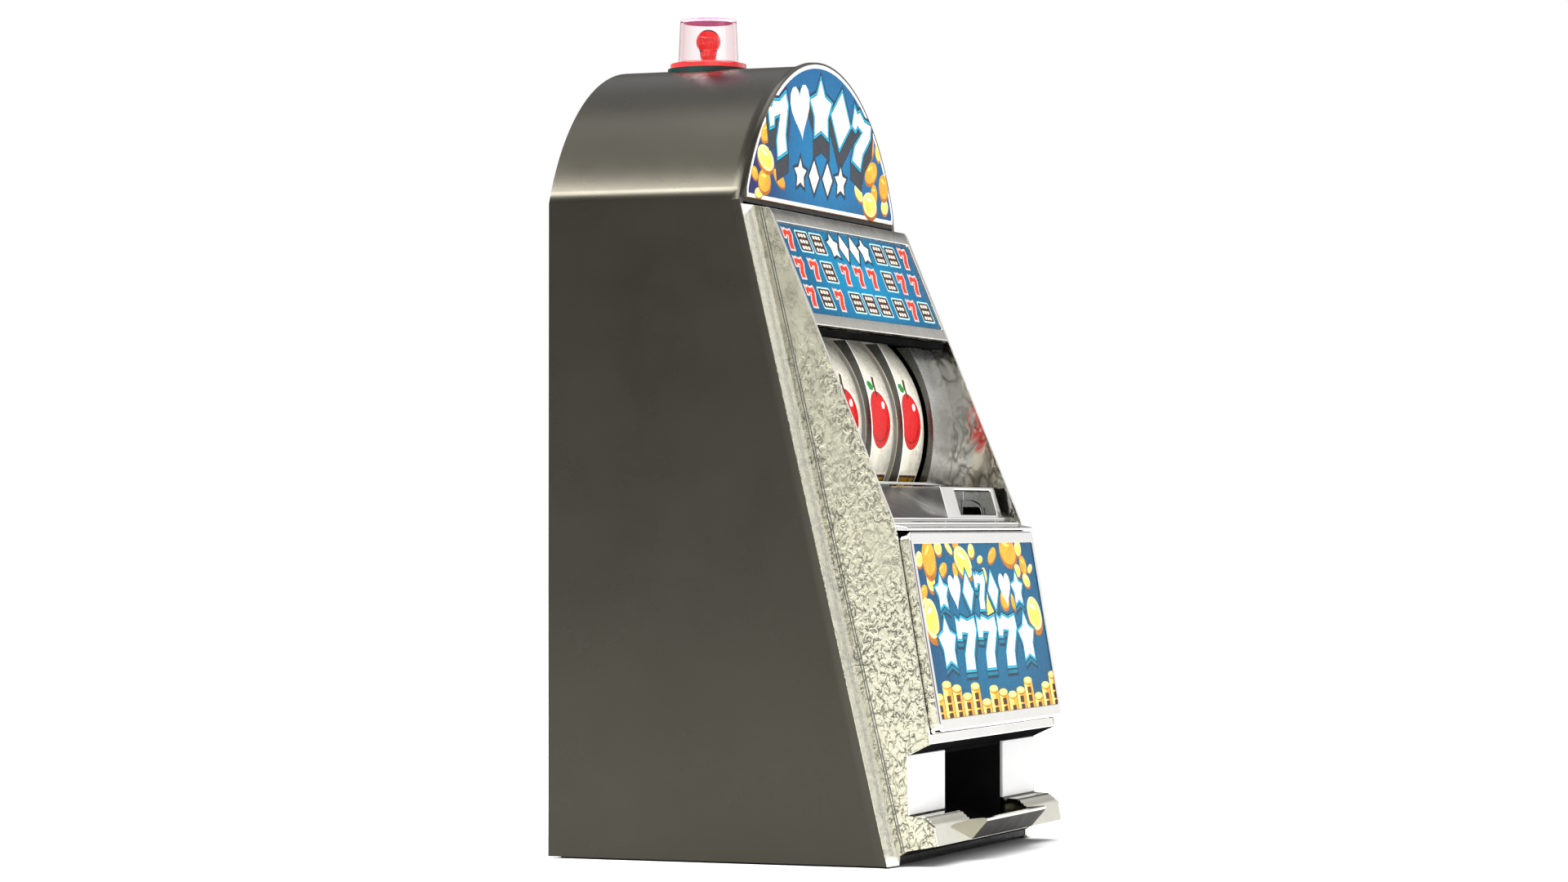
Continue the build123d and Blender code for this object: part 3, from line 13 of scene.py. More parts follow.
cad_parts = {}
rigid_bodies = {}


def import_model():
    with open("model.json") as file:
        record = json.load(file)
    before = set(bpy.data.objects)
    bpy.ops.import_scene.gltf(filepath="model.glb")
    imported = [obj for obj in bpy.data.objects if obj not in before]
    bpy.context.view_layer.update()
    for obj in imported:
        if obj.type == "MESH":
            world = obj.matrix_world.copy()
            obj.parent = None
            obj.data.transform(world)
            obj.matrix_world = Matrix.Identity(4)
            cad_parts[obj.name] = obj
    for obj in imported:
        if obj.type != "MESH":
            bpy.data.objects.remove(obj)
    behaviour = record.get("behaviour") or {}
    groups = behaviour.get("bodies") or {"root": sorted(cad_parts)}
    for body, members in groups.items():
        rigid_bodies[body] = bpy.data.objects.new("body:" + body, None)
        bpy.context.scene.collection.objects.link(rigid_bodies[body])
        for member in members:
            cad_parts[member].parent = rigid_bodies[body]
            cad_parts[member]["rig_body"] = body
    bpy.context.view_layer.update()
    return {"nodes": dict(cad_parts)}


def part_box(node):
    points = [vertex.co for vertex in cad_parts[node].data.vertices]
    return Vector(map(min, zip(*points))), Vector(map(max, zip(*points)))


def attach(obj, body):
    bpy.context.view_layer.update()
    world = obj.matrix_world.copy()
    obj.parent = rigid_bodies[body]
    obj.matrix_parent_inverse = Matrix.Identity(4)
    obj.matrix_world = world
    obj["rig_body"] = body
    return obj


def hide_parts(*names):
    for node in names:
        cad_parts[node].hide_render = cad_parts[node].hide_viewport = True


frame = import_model()

MM = 0.001


# ---- materials ----


def new_material(name):
    """A material with a bare Principled shader, and its node tree."""
    material = bpy.data.materials.new(name)
    material.use_nodes = True
    tree = material.node_tree
    return material, tree, tree.nodes["Principled BSDF"]


def texture_point(tree, scale=(1, 1, 1)):
    """The piece's own coordinates in metres, stretched along each axis."""
    where = tree.nodes.new("ShaderNodeTexCoord")
    stretch = tree.nodes.new("ShaderNodeMapping")
    stretch.inputs["Scale"].default_value = scale
    tree.links.new(where.outputs["Object"], stretch.inputs["Vector"])
    return stretch.outputs["Vector"]


def noise(tree, point, scale, detail=2.0, roughness=0.5, distortion=0.0):
    """Soft noise of a number of waves per metre."""
    node = tree.nodes.new("ShaderNodeTexNoise")
    node.inputs["Scale"].default_value = scale
    node.inputs["Detail"].default_value = detail
    node.inputs["Roughness"].default_value = roughness
    node.inputs["Distortion"].default_value = distortion
    tree.links.new(point, node.inputs["Vector"])
    return node.outputs["Fac"]


def spread(tree, value, low, high, start=0.3, end=0.7):
    """A value between start and end, mapped to run from low to high."""
    node = tree.nodes.new("ShaderNodeMapRange")
    node.inputs["From Min"].default_value = start
    node.inputs["From Max"].default_value = end
    node.inputs["To Min"].default_value = low
    node.inputs["To Max"].default_value = high
    tree.links.new(value, node.inputs["Value"])
    return node.outputs["Result"]


def blend_colours(tree, share, first, second):
    """Two colours mixed by a share. Each may be an RGB triple or another node's output."""
    node = tree.nodes.new("ShaderNodeMix")
    node.data_type = "RGBA"
    tree.links.new(share, node.inputs["Factor"])
    for socket, colour in ((node.inputs[6], first), (node.inputs[7], second)):
        if isinstance(colour, tuple):
            socket.default_value = (*colour, 1.0)
        else:
            tree.links.new(colour, socket)
    return node.outputs[2]


def bump(tree, height, depth):
    """A bump of a depth in metres."""
    node = tree.nodes.new("ShaderNodeBump")
    node.inputs["Strength"].default_value = 1.0
    node.inputs["Distance"].default_value = depth
    tree.links.new(height, node.inputs["Height"])
    return node.outputs["Normal"]


def combined(tree, operation, first, second):
    """Two values put through a math node. Each may be a number or another node's output."""
    node = tree.nodes.new("ShaderNodeMath")
    node.operation = operation
    for socket, value in zip(node.inputs, (first, second)):
        if isinstance(value, float):
            socket.default_value = value
        else:
            tree.links.new(value, socket)
    return node.outputs["Value"]


def shade(colour, factor):
    """A colour made lighter or darker."""
    return tuple(min(1.0, c * factor) for c in colour)


COAT_ROUGHNESS = 0.1
GLOSS_PATCH_RATIO = 2.3


def plain_finish(
    name,
    colour,
    metallic=0.0,
    roughness=(0.3, 0.4),
    variation=0.12,
    patch=60.0,
    grain=900.0,
    grain_depth=0.02,
    stretch=(1, 1, 1),
    coat=0.0,
    specular=0.5,
):
    """A painted, plated or moulded surface: slow changes of tone and gloss over a fine grain."""
    material, tree, shader = new_material(name)
    point = texture_point(tree, stretch)
    tone = spread(tree, noise(tree, point, patch, 4.0), 0.0, 1.0)
    mixed = blend_colours(tree, tone, shade(colour, 1 - variation), shade(colour, 1 + variation))
    tree.links.new(mixed, shader.inputs["Base Color"])
    gloss = spread(tree, noise(tree, point, patch * GLOSS_PATCH_RATIO, 5.0), *roughness)
    tree.links.new(gloss, shader.inputs["Roughness"])
    fine = noise(tree, point, grain, 3.0)
    tree.links.new(bump(tree, fine, grain_depth * MM), shader.inputs["Normal"])
    shader.inputs["Metallic"].default_value = metallic
    shader.inputs["Coat Weight"].default_value = coat
    shader.inputs["Coat Roughness"].default_value = COAT_ROUGHNESS
    shader.inputs["Specular IOR Level"].default_value = specular
    return material


DENT_STRETCH = (1, 1, 0.7)
DENT_PATCH = 26.0
CREASE_WIDTH = 0.05
FADE_BELOW = 0.08
FADE_ABOVE = 0.03
LEAST_DENTING = 0.25


def hammered_finish(name, colour, painted_crease_shade, cell, depth, smooth_above, roughness):
    """Plating over fine dents, in patches that fade out towards the top, with painted shade along winding
    crease lines.
    """
    material, tree, shader = new_material(name)
    point = texture_point(tree, DENT_STRETCH)
    dents = noise(tree, point, 1 / cell, 2.0, 0.5, 0.5)
    split = tree.nodes.new("ShaderNodeSeparateXYZ")
    tree.links.new(texture_point(tree), split.inputs["Vector"])
    patches = spread(tree, noise(tree, point, DENT_PATCH, 3.0, 0.6), low=0.3, high=1.0, start=0.36, end=0.5)
    fade_start, fade_end = smooth_above - FADE_BELOW, smooth_above + FADE_ABOVE
    fade = spread(tree, split.outputs["Z"], 1.0, LEAST_DENTING, fade_start, fade_end)
    amount = combined(tree, "MULTIPLY", patches, fade)
    relief = spread(tree, dents, low=0.0, high=1.0, start=0.36, end=0.62)
    deep = combined(tree, "MULTIPLY", relief, amount)
    away = combined(tree, "PINGPONG", dents, 0.5)
    lines = spread(tree, away, low=0.0, high=1.0, start=0.5 - CREASE_WIDTH, end=0.5)
    creases = combined(tree, "MULTIPLY", lines, amount)
    # painted shade: the crease lines blend towards the painted shade colour
    tree.links.new(blend_colours(tree, creases, colour, painted_crease_shade), shader.inputs["Base Color"])
    gloss = spread(tree, noise(tree, point, 180.0, 4.0), *roughness)
    tree.links.new(gloss, shader.inputs["Roughness"])
    tree.links.new(bump(tree, deep, depth * MM), shader.inputs["Normal"])
    shader.inputs["Metallic"].default_value = 1.0
    return material


PRINT_SPECULAR = 0.06
PRINT_ROUGHNESS = (0.22, 0.34)
PRINT_GRAIN = 0.004


def film_over(tree, shader, point):
    """The clear film over every print: its gloss and its fine grain."""
    gloss = spread(tree, noise(tree, point, 300.0, 3.0), *PRINT_ROUGHNESS)
    tree.links.new(gloss, shader.inputs["Roughness"])
    grain = bump(tree, noise(tree, point, 900.0, 2.0), PRINT_GRAIN * MM)
    tree.links.new(grain, shader.inputs["Normal"])
    shader.inputs["Specular IOR Level"].default_value = PRINT_SPECULAR


def ink(name, colour, second=None, patch=90.0):
    """Print under a clear film: one tone, or two that run into each other."""
    material, tree, shader = new_material("ink_" + name)
    point = texture_point(tree)
    tone = spread(tree, noise(tree, point, patch, 3.0), 0.0, 1.0)
    other = second or shade(colour, 1.1)
    tree.links.new(blend_colours(tree, tone, shade(colour, 0.94), other), shader.inputs["Base Color"])
    film_over(tree, shader, point)
    return material


def field_ink(name, centre, half_size, middle, outer, side):
    """A card's background: bright in the middle, deeper outwards, and another hue at its left end."""
    material, tree, shader = new_material("ink_" + name)
    where = tree.nodes.new("ShaderNodeTexCoord")
    offset = tree.nodes.new("ShaderNodeMapping")
    offset.vector_type = "TEXTURE"
    offset.inputs["Location"].default_value = centre
    offset.inputs["Scale"].default_value = half_size
    tree.links.new(where.outputs["Object"], offset.inputs["Vector"])
    reach = tree.nodes.new("ShaderNodeVectorMath")
    reach.operation = "LENGTH"
    tree.links.new(offset.outputs["Vector"], reach.inputs[0])
    glow = spread(tree, reach.outputs["Value"], low=0.0, high=1.0, start=0.1, end=1.0)
    tone = blend_colours(tree, glow, middle, outer)
    split = tree.nodes.new("ShaderNodeSeparateXYZ")
    tree.links.new(offset.outputs["Vector"], split.inputs["Vector"])
    left = spread(tree, split.outputs["X"], low=1.0, high=0.0, start=-1.0, end=-0.45)
    tone = blend_colours(tree, left, tone, side)
    tree.links.new(tone, shader.inputs["Base Color"])
    film_over(tree, shader, texture_point(tree))
    return material


CLEAR_ROUGHNESS = (0.04, 0.1)
CLEAR_EDGE_BLEND = 0.22
CLEAR_IOR = 1.3


def clear_finish(name, face_colour, edge_colour):
    """Clear plastic that looks deeper edge on."""
    material, tree, shader = new_material(name)
    facing = tree.nodes.new("ShaderNodeLayerWeight")
    facing.inputs["Blend"].default_value = CLEAR_EDGE_BLEND
    mixed = blend_colours(tree, facing.outputs["Facing"], face_colour, edge_colour)
    tree.links.new(mixed, shader.inputs["Base Color"])
    point = texture_point(tree)
    gloss = spread(tree, noise(tree, point, 120.0, 3.0), *CLEAR_ROUGHNESS)
    tree.links.new(gloss, shader.inputs["Roughness"])
    shader.inputs["Transmission Weight"].default_value = 1.0
    shader.inputs["IOR"].default_value = CLEAR_IOR
    return material


CABINET = plain_finish(
    "cabinet_paint", (0.041, 0.038, 0.03), metallic=0.9, roughness=(0.26, 0.31), variation=0.06,
    patch=16.0, grain=2200.0, grain_depth=0.008, specular=0.3
)
NICKEL = (0.47, 0.455, 0.35)
# painted shade colour laid along the crease lines of the hammered plating
NICKEL_PAINTED_SHADE = (0.06, 0.06, 0.05)
HAMMERED = hammered_finish(
    "hammered_nickel", NICKEL, NICKEL_PAINTED_SHADE, cell=0.0024, depth=0.13, smooth_above=0.27,
    roughness=(0.24, 0.34)
)
# the wavy chrome's second colour is painted shade along its crease lines too
WAVY = hammered_finish(
    "wavy_chrome", (0.56, 0.55, 0.5), (0.25, 0.24, 0.2), cell=0.009, depth=0.2, smooth_above=0.4,
    roughness=(0.08, 0.16)
)
# partly a smoother polished band, partly painted highlight: pale and partly unplated so it reads white
RIM_POLISH_AND_HIGHLIGHT = plain_finish(
    "rim_polish_and_painted_highlight", (0.82, 0.81, 0.75), metallic=0.72, roughness=(0.08, 0.2), variation=0.08,
    patch=300.0, grain=420.0, grain_depth=0.05
)
MASK_SKIN = plain_finish(
    "mask_chrome", (0.46, 0.46, 0.44), metallic=0.85, roughness=(0.22, 0.32), variation=0.08,
    grain=300.0, grain_depth=0.03
)
# painted highlight: near-white, mostly unplated chrome for the fins' front edges
FIN_PAINTED_HIGHLIGHT = plain_finish("fin_painted_highlight", (0.95, 0.95, 0.94), metallic=0.2, variation=0.02, grain=400.0)
# painted shade: dark chrome for the cheek grooves, the fins' sides and the coin pocket
CHROME_PAINTED_SHADE = plain_finish(
    "chrome_painted_shade", (0.13, 0.135, 0.13), metallic=1.0, roughness=(0.22, 0.34), variation=0.1,
    grain=400.0
)
# painted reflection: darkened chrome on the sill's top, for the dark cheek it mirrors
SILL_PAINTED_REFLECTION = plain_finish("sill_painted_reflection", (0.13, 0.13, 0.13), metallic=0.9, variation=0.1, grain=400.0)
TRAY = plain_finish(
    "tray_chrome", (0.66, 0.64, 0.54), metallic=1.0, roughness=(0.06, 0.14), variation=0.06,
    grain=240.0, grain_depth=0.03
)
CHROME = plain_finish(
    "chrome_trim", (0.84, 0.83, 0.8), metallic=1.0, roughness=(0.05, 0.12), variation=0.03,
    patch=40.0, grain=260.0
)
SATIN_CHROME = plain_finish(
    "satin_chrome", (0.78, 0.76, 0.69), metallic=1.0, roughness=(0.14, 0.24), variation=0.05,
    patch=50.0, grain=350.0, grain_depth=0.05
)
WHITE = plain_finish(
    "pale_panel", (0.7, 0.7, 0.7), variation=0.02, patch=30.0, grain=1200.0, grain_depth=0.01
)
BLACK = plain_finish(
    "black_plastic", (0.016, 0.016, 0.017), roughness=(0.4, 0.52), variation=0.2, grain=1600.0,
    grain_depth=0.06, specular=0.14
)
MATTE_BLACK = plain_finish(
    "matte_black", (0.007, 0.007, 0.007), roughness=(0.5, 0.6), variation=0.2, grain_depth=0.03,
    specular=0.0
)
# painted shade: a near-black, barely reflecting copy of the tray for its downward faces
TRAY_PAINTED_SHADE = plain_finish(
    "tray_painted_shade", (0.02, 0.019, 0.016), metallic=0.1, variation=0.1, grain=400.0, specular=0.02
)
GLOSS_BLACK = plain_finish(
    "gloss_black", (0.008, 0.008, 0.009), roughness=(0.14, 0.3), variation=0.2, grain=420.0,
    grain_depth=0.12, specular=0.03
)
RUBBER = plain_finish(
    "rubber_pad", (0.03, 0.03, 0.03), roughness=(0.7, 0.85), variation=0.15, patch=90.0,
    grain=1500.0, grain_depth=0.05
)
GASKET = plain_finish(
    "gasket_green", (0.006, 0.022, 0.02), roughness=(0.35, 0.5), variation=0.15, patch=90.0,
    grain_depth=0.03, specular=0.2
)
STEEL = plain_finish(
    "steel", (0.56, 0.56, 0.55), metallic=1.0, roughness=(0.25, 0.38), variation=0.06,
    grain_depth=0.03, stretch=(1, 1, 12)
)
BRASS = plain_finish(
    "brass_contact", (0.72, 0.55, 0.24), metallic=1.0, roughness=(0.2, 0.32), variation=0.08,
    patch=90.0
)
DRUM = plain_finish("reel_drum", (0.62, 0.6, 0.53), roughness=(0.4, 0.5), variation=0.06)
GREY_PLASTIC = plain_finish(
    "ratchet_plastic", (0.07, 0.07, 0.075), roughness=(0.4, 0.5), variation=0.1, grain_depth=0.03
)
KNOB = plain_finish(
    "knob_red", (0.5, 0.012, 0.014), roughness=(0.06, 0.14), variation=0.08, patch=40.0,
    grain=600.0, grain_depth=0.004, coat=0.6
)
BOARD = plain_finish(
    "board_green", (0.015, 0.13, 0.05), roughness=(0.3, 0.45), variation=0.15, patch=240.0,
    grain_depth=0.03
)
CELL = plain_finish(
    "cell_wrap", (0.06, 0.065, 0.075), metallic=0.3, roughness=(0.25, 0.35), variation=0.1,
    patch=90.0, grain_depth=0.01
)
LENS = clear_finish("lamp_clear", (1.0, 0.985, 0.993), (0.72, 0.2, 0.2))
LENS_TOP = plain_finish(
    "lamp_pink", (0.86, 0.15, 0.38), variation=0.05, grain=600.0, grain_depth=0.004, specular=0.0
)
FLANGE = plain_finish(
    "lamp_flange_red", (0.72, 0.02, 0.02), roughness=(0.06, 0.14), variation=0.1, grain=600.0,
    grain_depth=0.004, coat=0.6
)
BULB = clear_finish("bulb_red", (0.85, 0.012, 0.01), (0.36, 0.0, 0.004))
FILAMENT = plain_finish(
    "bulb_filament", (0.95, 0.75, 0.7), metallic=0.4, roughness=(0.25, 0.35), variation=0.1,
    patch=90.0, grain_depth=0.01
)

NODE_FINISH = {
    CABINET: "cabinet_shell topper_rim",
    HAMMERED: "left_cheek right_cheek",
    SATIN_CHROME: "paytable_frame",
    CHROME: "reel_mask sill coin_block coin_guide belly_frame belly_lip lever_boss "
    "lever_hub lever_arm door_lock",
    TRAY: "coin_tray",
    WHITE: "payout_panels",
    BLACK: "base_plate payout_flap bulkhead coin_chute rear_cover coin_door battery_door "
    "battery_box speaker mechanism_shelf lamp_socket",
    GLOSS_BLACK: "payout_chute",
    MATTE_BLACK: "window_header",
    RUBBER: "foot_pads",
    GASKET: "lamp_gasket",
    STEEL: "mechanism_plate_left mechanism_plate_right reel_axle axle_clips detent_springs lever_spring "
    "lever_shaft flap_pin door_pin screws",
    BRASS: "battery_contacts",
    DRUM: "reel_1 reel_2 reel_3",
    GREY_PLASTIC: "reel_ratchet_1 reel_ratchet_2 reel_ratchet_3 kickers spring_collar",
    KNOB: "lever_knob",
    BOARD: "circuit_board",
    CELL: "batteries",
    LENS: "lamp_lens",
    BULB: "lamp_bulb",
}

for finish, names in NODE_FINISH.items():
    for node_name in names.split():
        mesh = frame["nodes"][node_name].data
        mesh.materials.clear()
        mesh.materials.append(finish)


# ---- rounded copies of the moulded and pressed pieces ----


def add_piece(name, mesh, body):
    """A mesh placed in the scene, riding on a body."""
    piece = bpy.data.objects.new(name, mesh)
    bpy.context.scene.collection.objects.link(piece)
    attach(piece, body)
    return piece


SAME_POINT = 2e-6
FLAT_WITHIN = 0.4
SHARP_ABOVE = 32
ROUNDING_STEPS = 2
FLAT_FACE_WEIGHT = 90


def rounded(node, radius_mm):
    """A copy of a CAD node with its sharp edges rounded off, which stands for the node."""
    source = frame["nodes"][node]
    shape = bmesh.new()
    shape.from_mesh(source.data)
    bmesh.ops.remove_doubles(shape, verts=shape.verts, dist=SAME_POINT)
    flat = radians(FLAT_WITHIN)
    bmesh.ops.dissolve_limit(shape, angle_limit=flat, verts=shape.verts, edges=shape.edges)
    mesh = bpy.data.meshes.new(node + "_rounded")
    shape.to_mesh(mesh)
    shape.free()
    mesh.materials.clear()
    mesh.materials.append(source.data.materials[0])
    piece = add_piece(node + "_rounded", mesh, source["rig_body"])
    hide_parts(node)
    mesh.shade_smooth()
    edge = piece.modifiers.new("rounding", "BEVEL")
    edge.width = radius_mm * MM
    edge.segments = ROUNDING_STEPS
    edge.limit_method = "ANGLE"
    edge.angle_limit = radians(SHARP_ABOVE)
    flatness = piece.modifiers.new("flatness", "WEIGHTED_NORMAL")
    flatness.weight = FLAT_FACE_WEIGHT
    return piece


# edge radius of each rounded node, in millimetres
ROUNDING = {
    "cabinet_shell": 0.35,
    "left_cheek": 0.15,
    "right_cheek": 0.15,
    "paytable_frame": 0.35,
    "reel_mask": 0.1,
    "sill": 0.3,
    "coin_block": 0.5,
    "coin_guide": 0.2,
    "belly_frame": 0.45,
    "belly_lip": 0.3,
    "payout_panels": 0.3,
    "payout_chute": 0.3,
    "coin_tray": 0.35,
    "topper_rim": 0.15,
    "base_plate": 0.4,
    "rear_cover": 0.3,
    "coin_door": 0.4,
    "battery_door": 0.3,
    "door_lock": 0.25,
    "lamp_lens": 0.3,
}
pieces = {node: rounded(node, radius) for node, radius in ROUNDING.items()}


def paint(node, finish, wanted):
    """Gives another finish to the faces of a rounded piece, picked by the way they look and where
    they are. A later finish goes over an earlier one."""
    mesh = pieces[node].data
    mesh.materials.append(finish)
    slot = len(mesh.materials) - 1
    for face in mesh.polygons:
        if wanted(face.normal, face.center / MM):
            face.material_index = slot


# how squarely a face must look along an axis to be picked
SQUARE = 0.9
STEEP = 0.7
LEANING = 0.5
SLIGHT = 0.3

# where the picked faces lie, in millimetres
CHEEK_SKIN_X = 88.0
GROOVE_FLOOR_X = 87.5
GROOVE_BAND = 0.3
RIM_CLEARANCE = 0.2
FIN_MIDDLE_X = -4.4
FIN_REACH_X = 62.6
SILL_PLATE_Z = 150
BELLY_SIDE_X = 84
POCKET_LEFT_X = 20
POCKET_MIDDLE_Y = -55
POCKET_HALF_DEPTH = 9
POCKET_TOP_Z = 156
FLANGE_TOP_Z = 355.7
LENS_ROOF_Z = 373


def in_groove(way, at):
    """The floors of a cheek's shallow lines."""
    return abs(abs(at.x) - GROOVE_FLOOR_X) < GROOVE_BAND and abs(way.x) > SQUARE


for cheek, side in (("left_cheek", -1), ("right_cheek", 1)):
    # the cheek's edge band gets the polished finish with its painted highlight
    paint(cheek, RIM_POLISH_AND_HIGHLIGHT, lambda way, at: abs(at.x) > CHEEK_SKIN_X + RIM_CLEARANCE and way.y < -LEANING)
    paint(cheek, WAVY, lambda way, at, side=side: way.x * side < -SQUARE)
    # painted highlight: the cheek's forward faces made bright like a lit edge line
    paint(cheek, RIM_POLISH_AND_HIGHLIGHT, lambda way, at: way.y < -STEEP and abs(at.x) < CHEEK_SKIN_X)
    # painted shade in the floors of the cheek's grooves
    paint(cheek, CHROME_PAINTED_SHADE, in_groove)


def in_pocket(way, at):
    """The walls and floor of the coin block's finger pocket."""
    near = at.x > POCKET_LEFT_X and abs(at.y - POCKET_MIDDLE_Y) < POCKET_HALF_DEPTH
    return near and at.z < POCKET_TOP_Z and way.z > -LEANING


paint("reel_mask", MASK_SKIN, lambda way, at: way.y < 0)
# painted highlight along the front edges of the window fins
paint("reel_mask", FIN_PAINTED_HIGHLIGHT, lambda way, at: way.y < -LEANING and abs(at.x - FIN_MIDDLE_X) < FIN_REACH_X)
# painted shade on the sides of the window fins
paint("reel_mask", CHROME_PAINTED_SHADE, lambda way, at: abs(way.x) > SQUARE)
# painted reflection: the sill's top is given the darkened chrome
paint("sill", SILL_PAINTED_REFLECTION, lambda way, at: way.z > LEANING and at.z > SILL_PLATE_Z)
paint("belly_frame", HAMMERED, lambda way, at: abs(way.x) > SQUARE and abs(at.x) > BELLY_SIDE_X)
paint("coin_guide", BLACK, lambda way, at: abs(way.x) < LEANING)
# painted shade on the chrome tray's downward faces
paint("coin_tray", TRAY_PAINTED_SHADE, lambda way, at: way.z < -LEANING)
# painted shade: the chrome lip's underside is given matte black
paint("belly_lip", MATTE_BLACK, lambda way, at: way.z < -LEANING)
paint("base_plate", GLOSS_BLACK, lambda way, at: way.y < -SLIGHT)
paint("payout_chute", MATTE_BLACK, lambda way, at: way.z < -LEANING or way.y < -LEANING)
# painted shade on the walls and floor of the coin pocket
paint("coin_block", CHROME_PAINTED_SHADE, in_pocket)
paint("lamp_lens", FLANGE, lambda way, at: at.z < FLANGE_TOP_Z)
paint("lamp_lens", LENS_TOP, lambda way, at: way.z < -SQUARE and at.z > LENS_ROOF_Z)


# ---- flat shapes, as outlines in millimetres ----


def oval(x, y, rx, ry, tilt=0.0, steps=28):
    """A tilted ellipse."""
    turn = radians(tilt)
    points = []
    for n in range(steps):
        a = 2 * pi * n / steps
        u, v = rx * cos(a), ry * sin(a)
        points.append((x + u * cos(turn) - v * sin(turn), y + u * sin(turn) + v * cos(turn)))
    return points


def placed(points, x=0.0, y=0.0, size=1.0, turn=0.0, squeeze=1.0):
    """An outline scaled, turned by degrees and moved."""
    c, s = cos(radians(turn)), sin(radians(turn))
    scaled = [(u * size * squeeze, v * size) for u, v in points]
    return [(x + u * c - v * s, y + u * s + v * c) for u, v in scaled]


def star_shape(inner):
    """A fat five-pointed star of radius 1, with its notches at an inner radius."""
    radii = (1, inner) * 5
    return [(r * sin(pi * n / 5), r * cos(pi * n / 5)) for n, r in enumerate(radii)]


BOX_CORNER_STEPS = 4
HEART_STEPS = 24


def rounded_box(width, height, radius):
    """A box about the origin with round corners."""
    points = []
    for corner in range(4):
        cx = (width / 2 - radius) * (1 if corner in (0, 3) else -1)
        cy = (height / 2 - radius) * (1 if corner in (0, 1) else -1)
        for n in range(BOX_CORNER_STEPS + 1):
            a = pi / 2 * (corner + n / BOX_CORNER_STEPS)
            points.append((cx + radius * cos(a), cy + radius * sin(a)))
    return points


def heart_shape():
    """The usual heart curve, about 2 across."""
    points = []
    for n in range(HEART_STEPS):
        t = 2 * pi * n / HEART_STEPS
        u = 16 * sin(t) ** 3
        v = 13 * cos(t) - 5 * cos(2 * t) - 2 * cos(3 * t) - cos(4 * t)
        points.append((u / 17, (v + 2.5) / 15))
    return points[::-1]


DIAMOND = [(0, 1.05), (-0.8, 0), (0, -1.05), (0.8, 0)]
SEVEN = [
    (-0.78, 1.0),
    (-0.82, 0.22),
    (-0.5, 0.2),
    (-0.38, 0.46),
    (0.16, 0.42),
    (-0.4, -0.42),
    (-0.48, -1.0),
    (0.28, -1.0),
    (0.34, -0.4),
    (0.86, 0.5),
    (0.8, 0.98),
    (0.2, 0.86),
    (-0.3, 1.02),
    (-0.5, 0.84),
]


def area(points):
    """An outline's area, negative if it runs clockwise."""
    total = 0.0
    for (x0, y0), (x1, y1) in zip(points, points[1:] + points[:1]):
        total += x0 * y1 - x1 * y0
    return total / 2


LONGEST_MITRE = 1.6


def grown(points, distance):
    """An outline pushed out all round, with its sharp corners cut short."""
    if area(points) < 0:
        points = points[::-1]
    result = []
    count = len(points)
    for n in range(count):
        before, here, after = points[n - 1], points[n], points[(n + 1) % count]
        ax, ay = here[0] - before[0], here[1] - before[1]
        bx, by = after[0] - here[0], after[1] - here[1]
        la, lb = hypot(ax, ay), hypot(bx, by)
        na, nb = (ay / la, -ax / la), (by / lb, -bx / lb)
        mx, my = na[0] + nb[0], na[1] + nb[1]
        length = max(hypot(mx, my), 0.5)
        reach = min(2 / length, LONGEST_MITRE) * distance
        result.append((here[0] + mx / length * reach, here[1] + my / length * reach))
    return result


class Print:
    """Shapes printed one over another, each with its ink."""

    def __init__(self):
        self.shapes = []

    def add(self, ink_name, points):
        self.shapes.append((ink_name, points))

    def outlined(self, points, fill, rings):
        """A shape over wider copies of itself, given as (ink, distance) from the widest in."""
        for ink_name, distance in rings:
            self.add(ink_name, grown(points, distance))
        self.add(fill, points)

    def layer(self, ink_name, outlines, distance, drops=(0.0,)):
        """Wider copies of some outlines, let down by each of the drops, in one ink."""
        for outline in outlines:
            for drop in drops:
                self.add(ink_name, [(x, y - drop) for x, y in grown(outline, distance)])

    def coin(self, x, y, rx, ry, tilt, face, rim, shine):
        """A tilted coin: edge, rim, sunk middle and highlight."""
        drop = min(rx, ry) * 0.28
        self.add("amber_dark", oval(x, y - drop, rx * 1.06, ry * 1.06, tilt))
        self.add(rim, oval(x, y, rx, ry, tilt))
        self.add(face, oval(x, y, rx * 0.78, ry * 0.76, tilt))
        self.add(shine, oval(x - rx * 0.12, y + ry * 0.42, rx * 0.46, ry * 0.13, tilt, 14))


# inks of a coin's face, rim and highlight, for a gold and for an amber coin
COIN_KINDS = (("gold", "gold_light", "cream"), ("amber", "amber", "gold"))

KEEP_INSIDES = 1
CUT_TOLERANCE = 1e-5


def cut_mesh(name, shapes, place, lines=()):
    """One flat mesh, split along every outline, where each face takes its topmost shape's ink."""
    points, faces, edges = [], [], []
    for _, outline in shapes:
        ring = outline if area(outline) > 0 else outline[::-1]
        faces.append(list(range(len(points), len(points) + len(ring))))
        points += [Vector(p) for p in ring]
    for start, end in lines:
        edges.append((len(points), len(points) + 1))
        points += [Vector(start), Vector(end)]
    cut = delaunay_2d_cdt(points, edges, faces, KEEP_INSIDES, CUT_TOLERANCE, True)
    flat_points, _, flat_faces, _, _, shapes_over = cut
    ink_names = sorted({ink_name for ink_name, _ in shapes})
    mesh = bpy.data.meshes.new(name)
    shape = bmesh.new()
    corners = [shape.verts.new(place(p.x, p.y)) for p in flat_points]
    for face, covering in zip(flat_faces, shapes_over):
        if 0 not in covering:
            continue
        made = shape.faces.new([corners[i] for i in face])
        made.material_index = ink_names.index(shapes[max(covering)][0])
    loose = [v for v in shape.verts if not v.link_faces]
    bmesh.ops.delete(shape, geom=loose, context="VERTS")
    return mesh, shape, ink_names


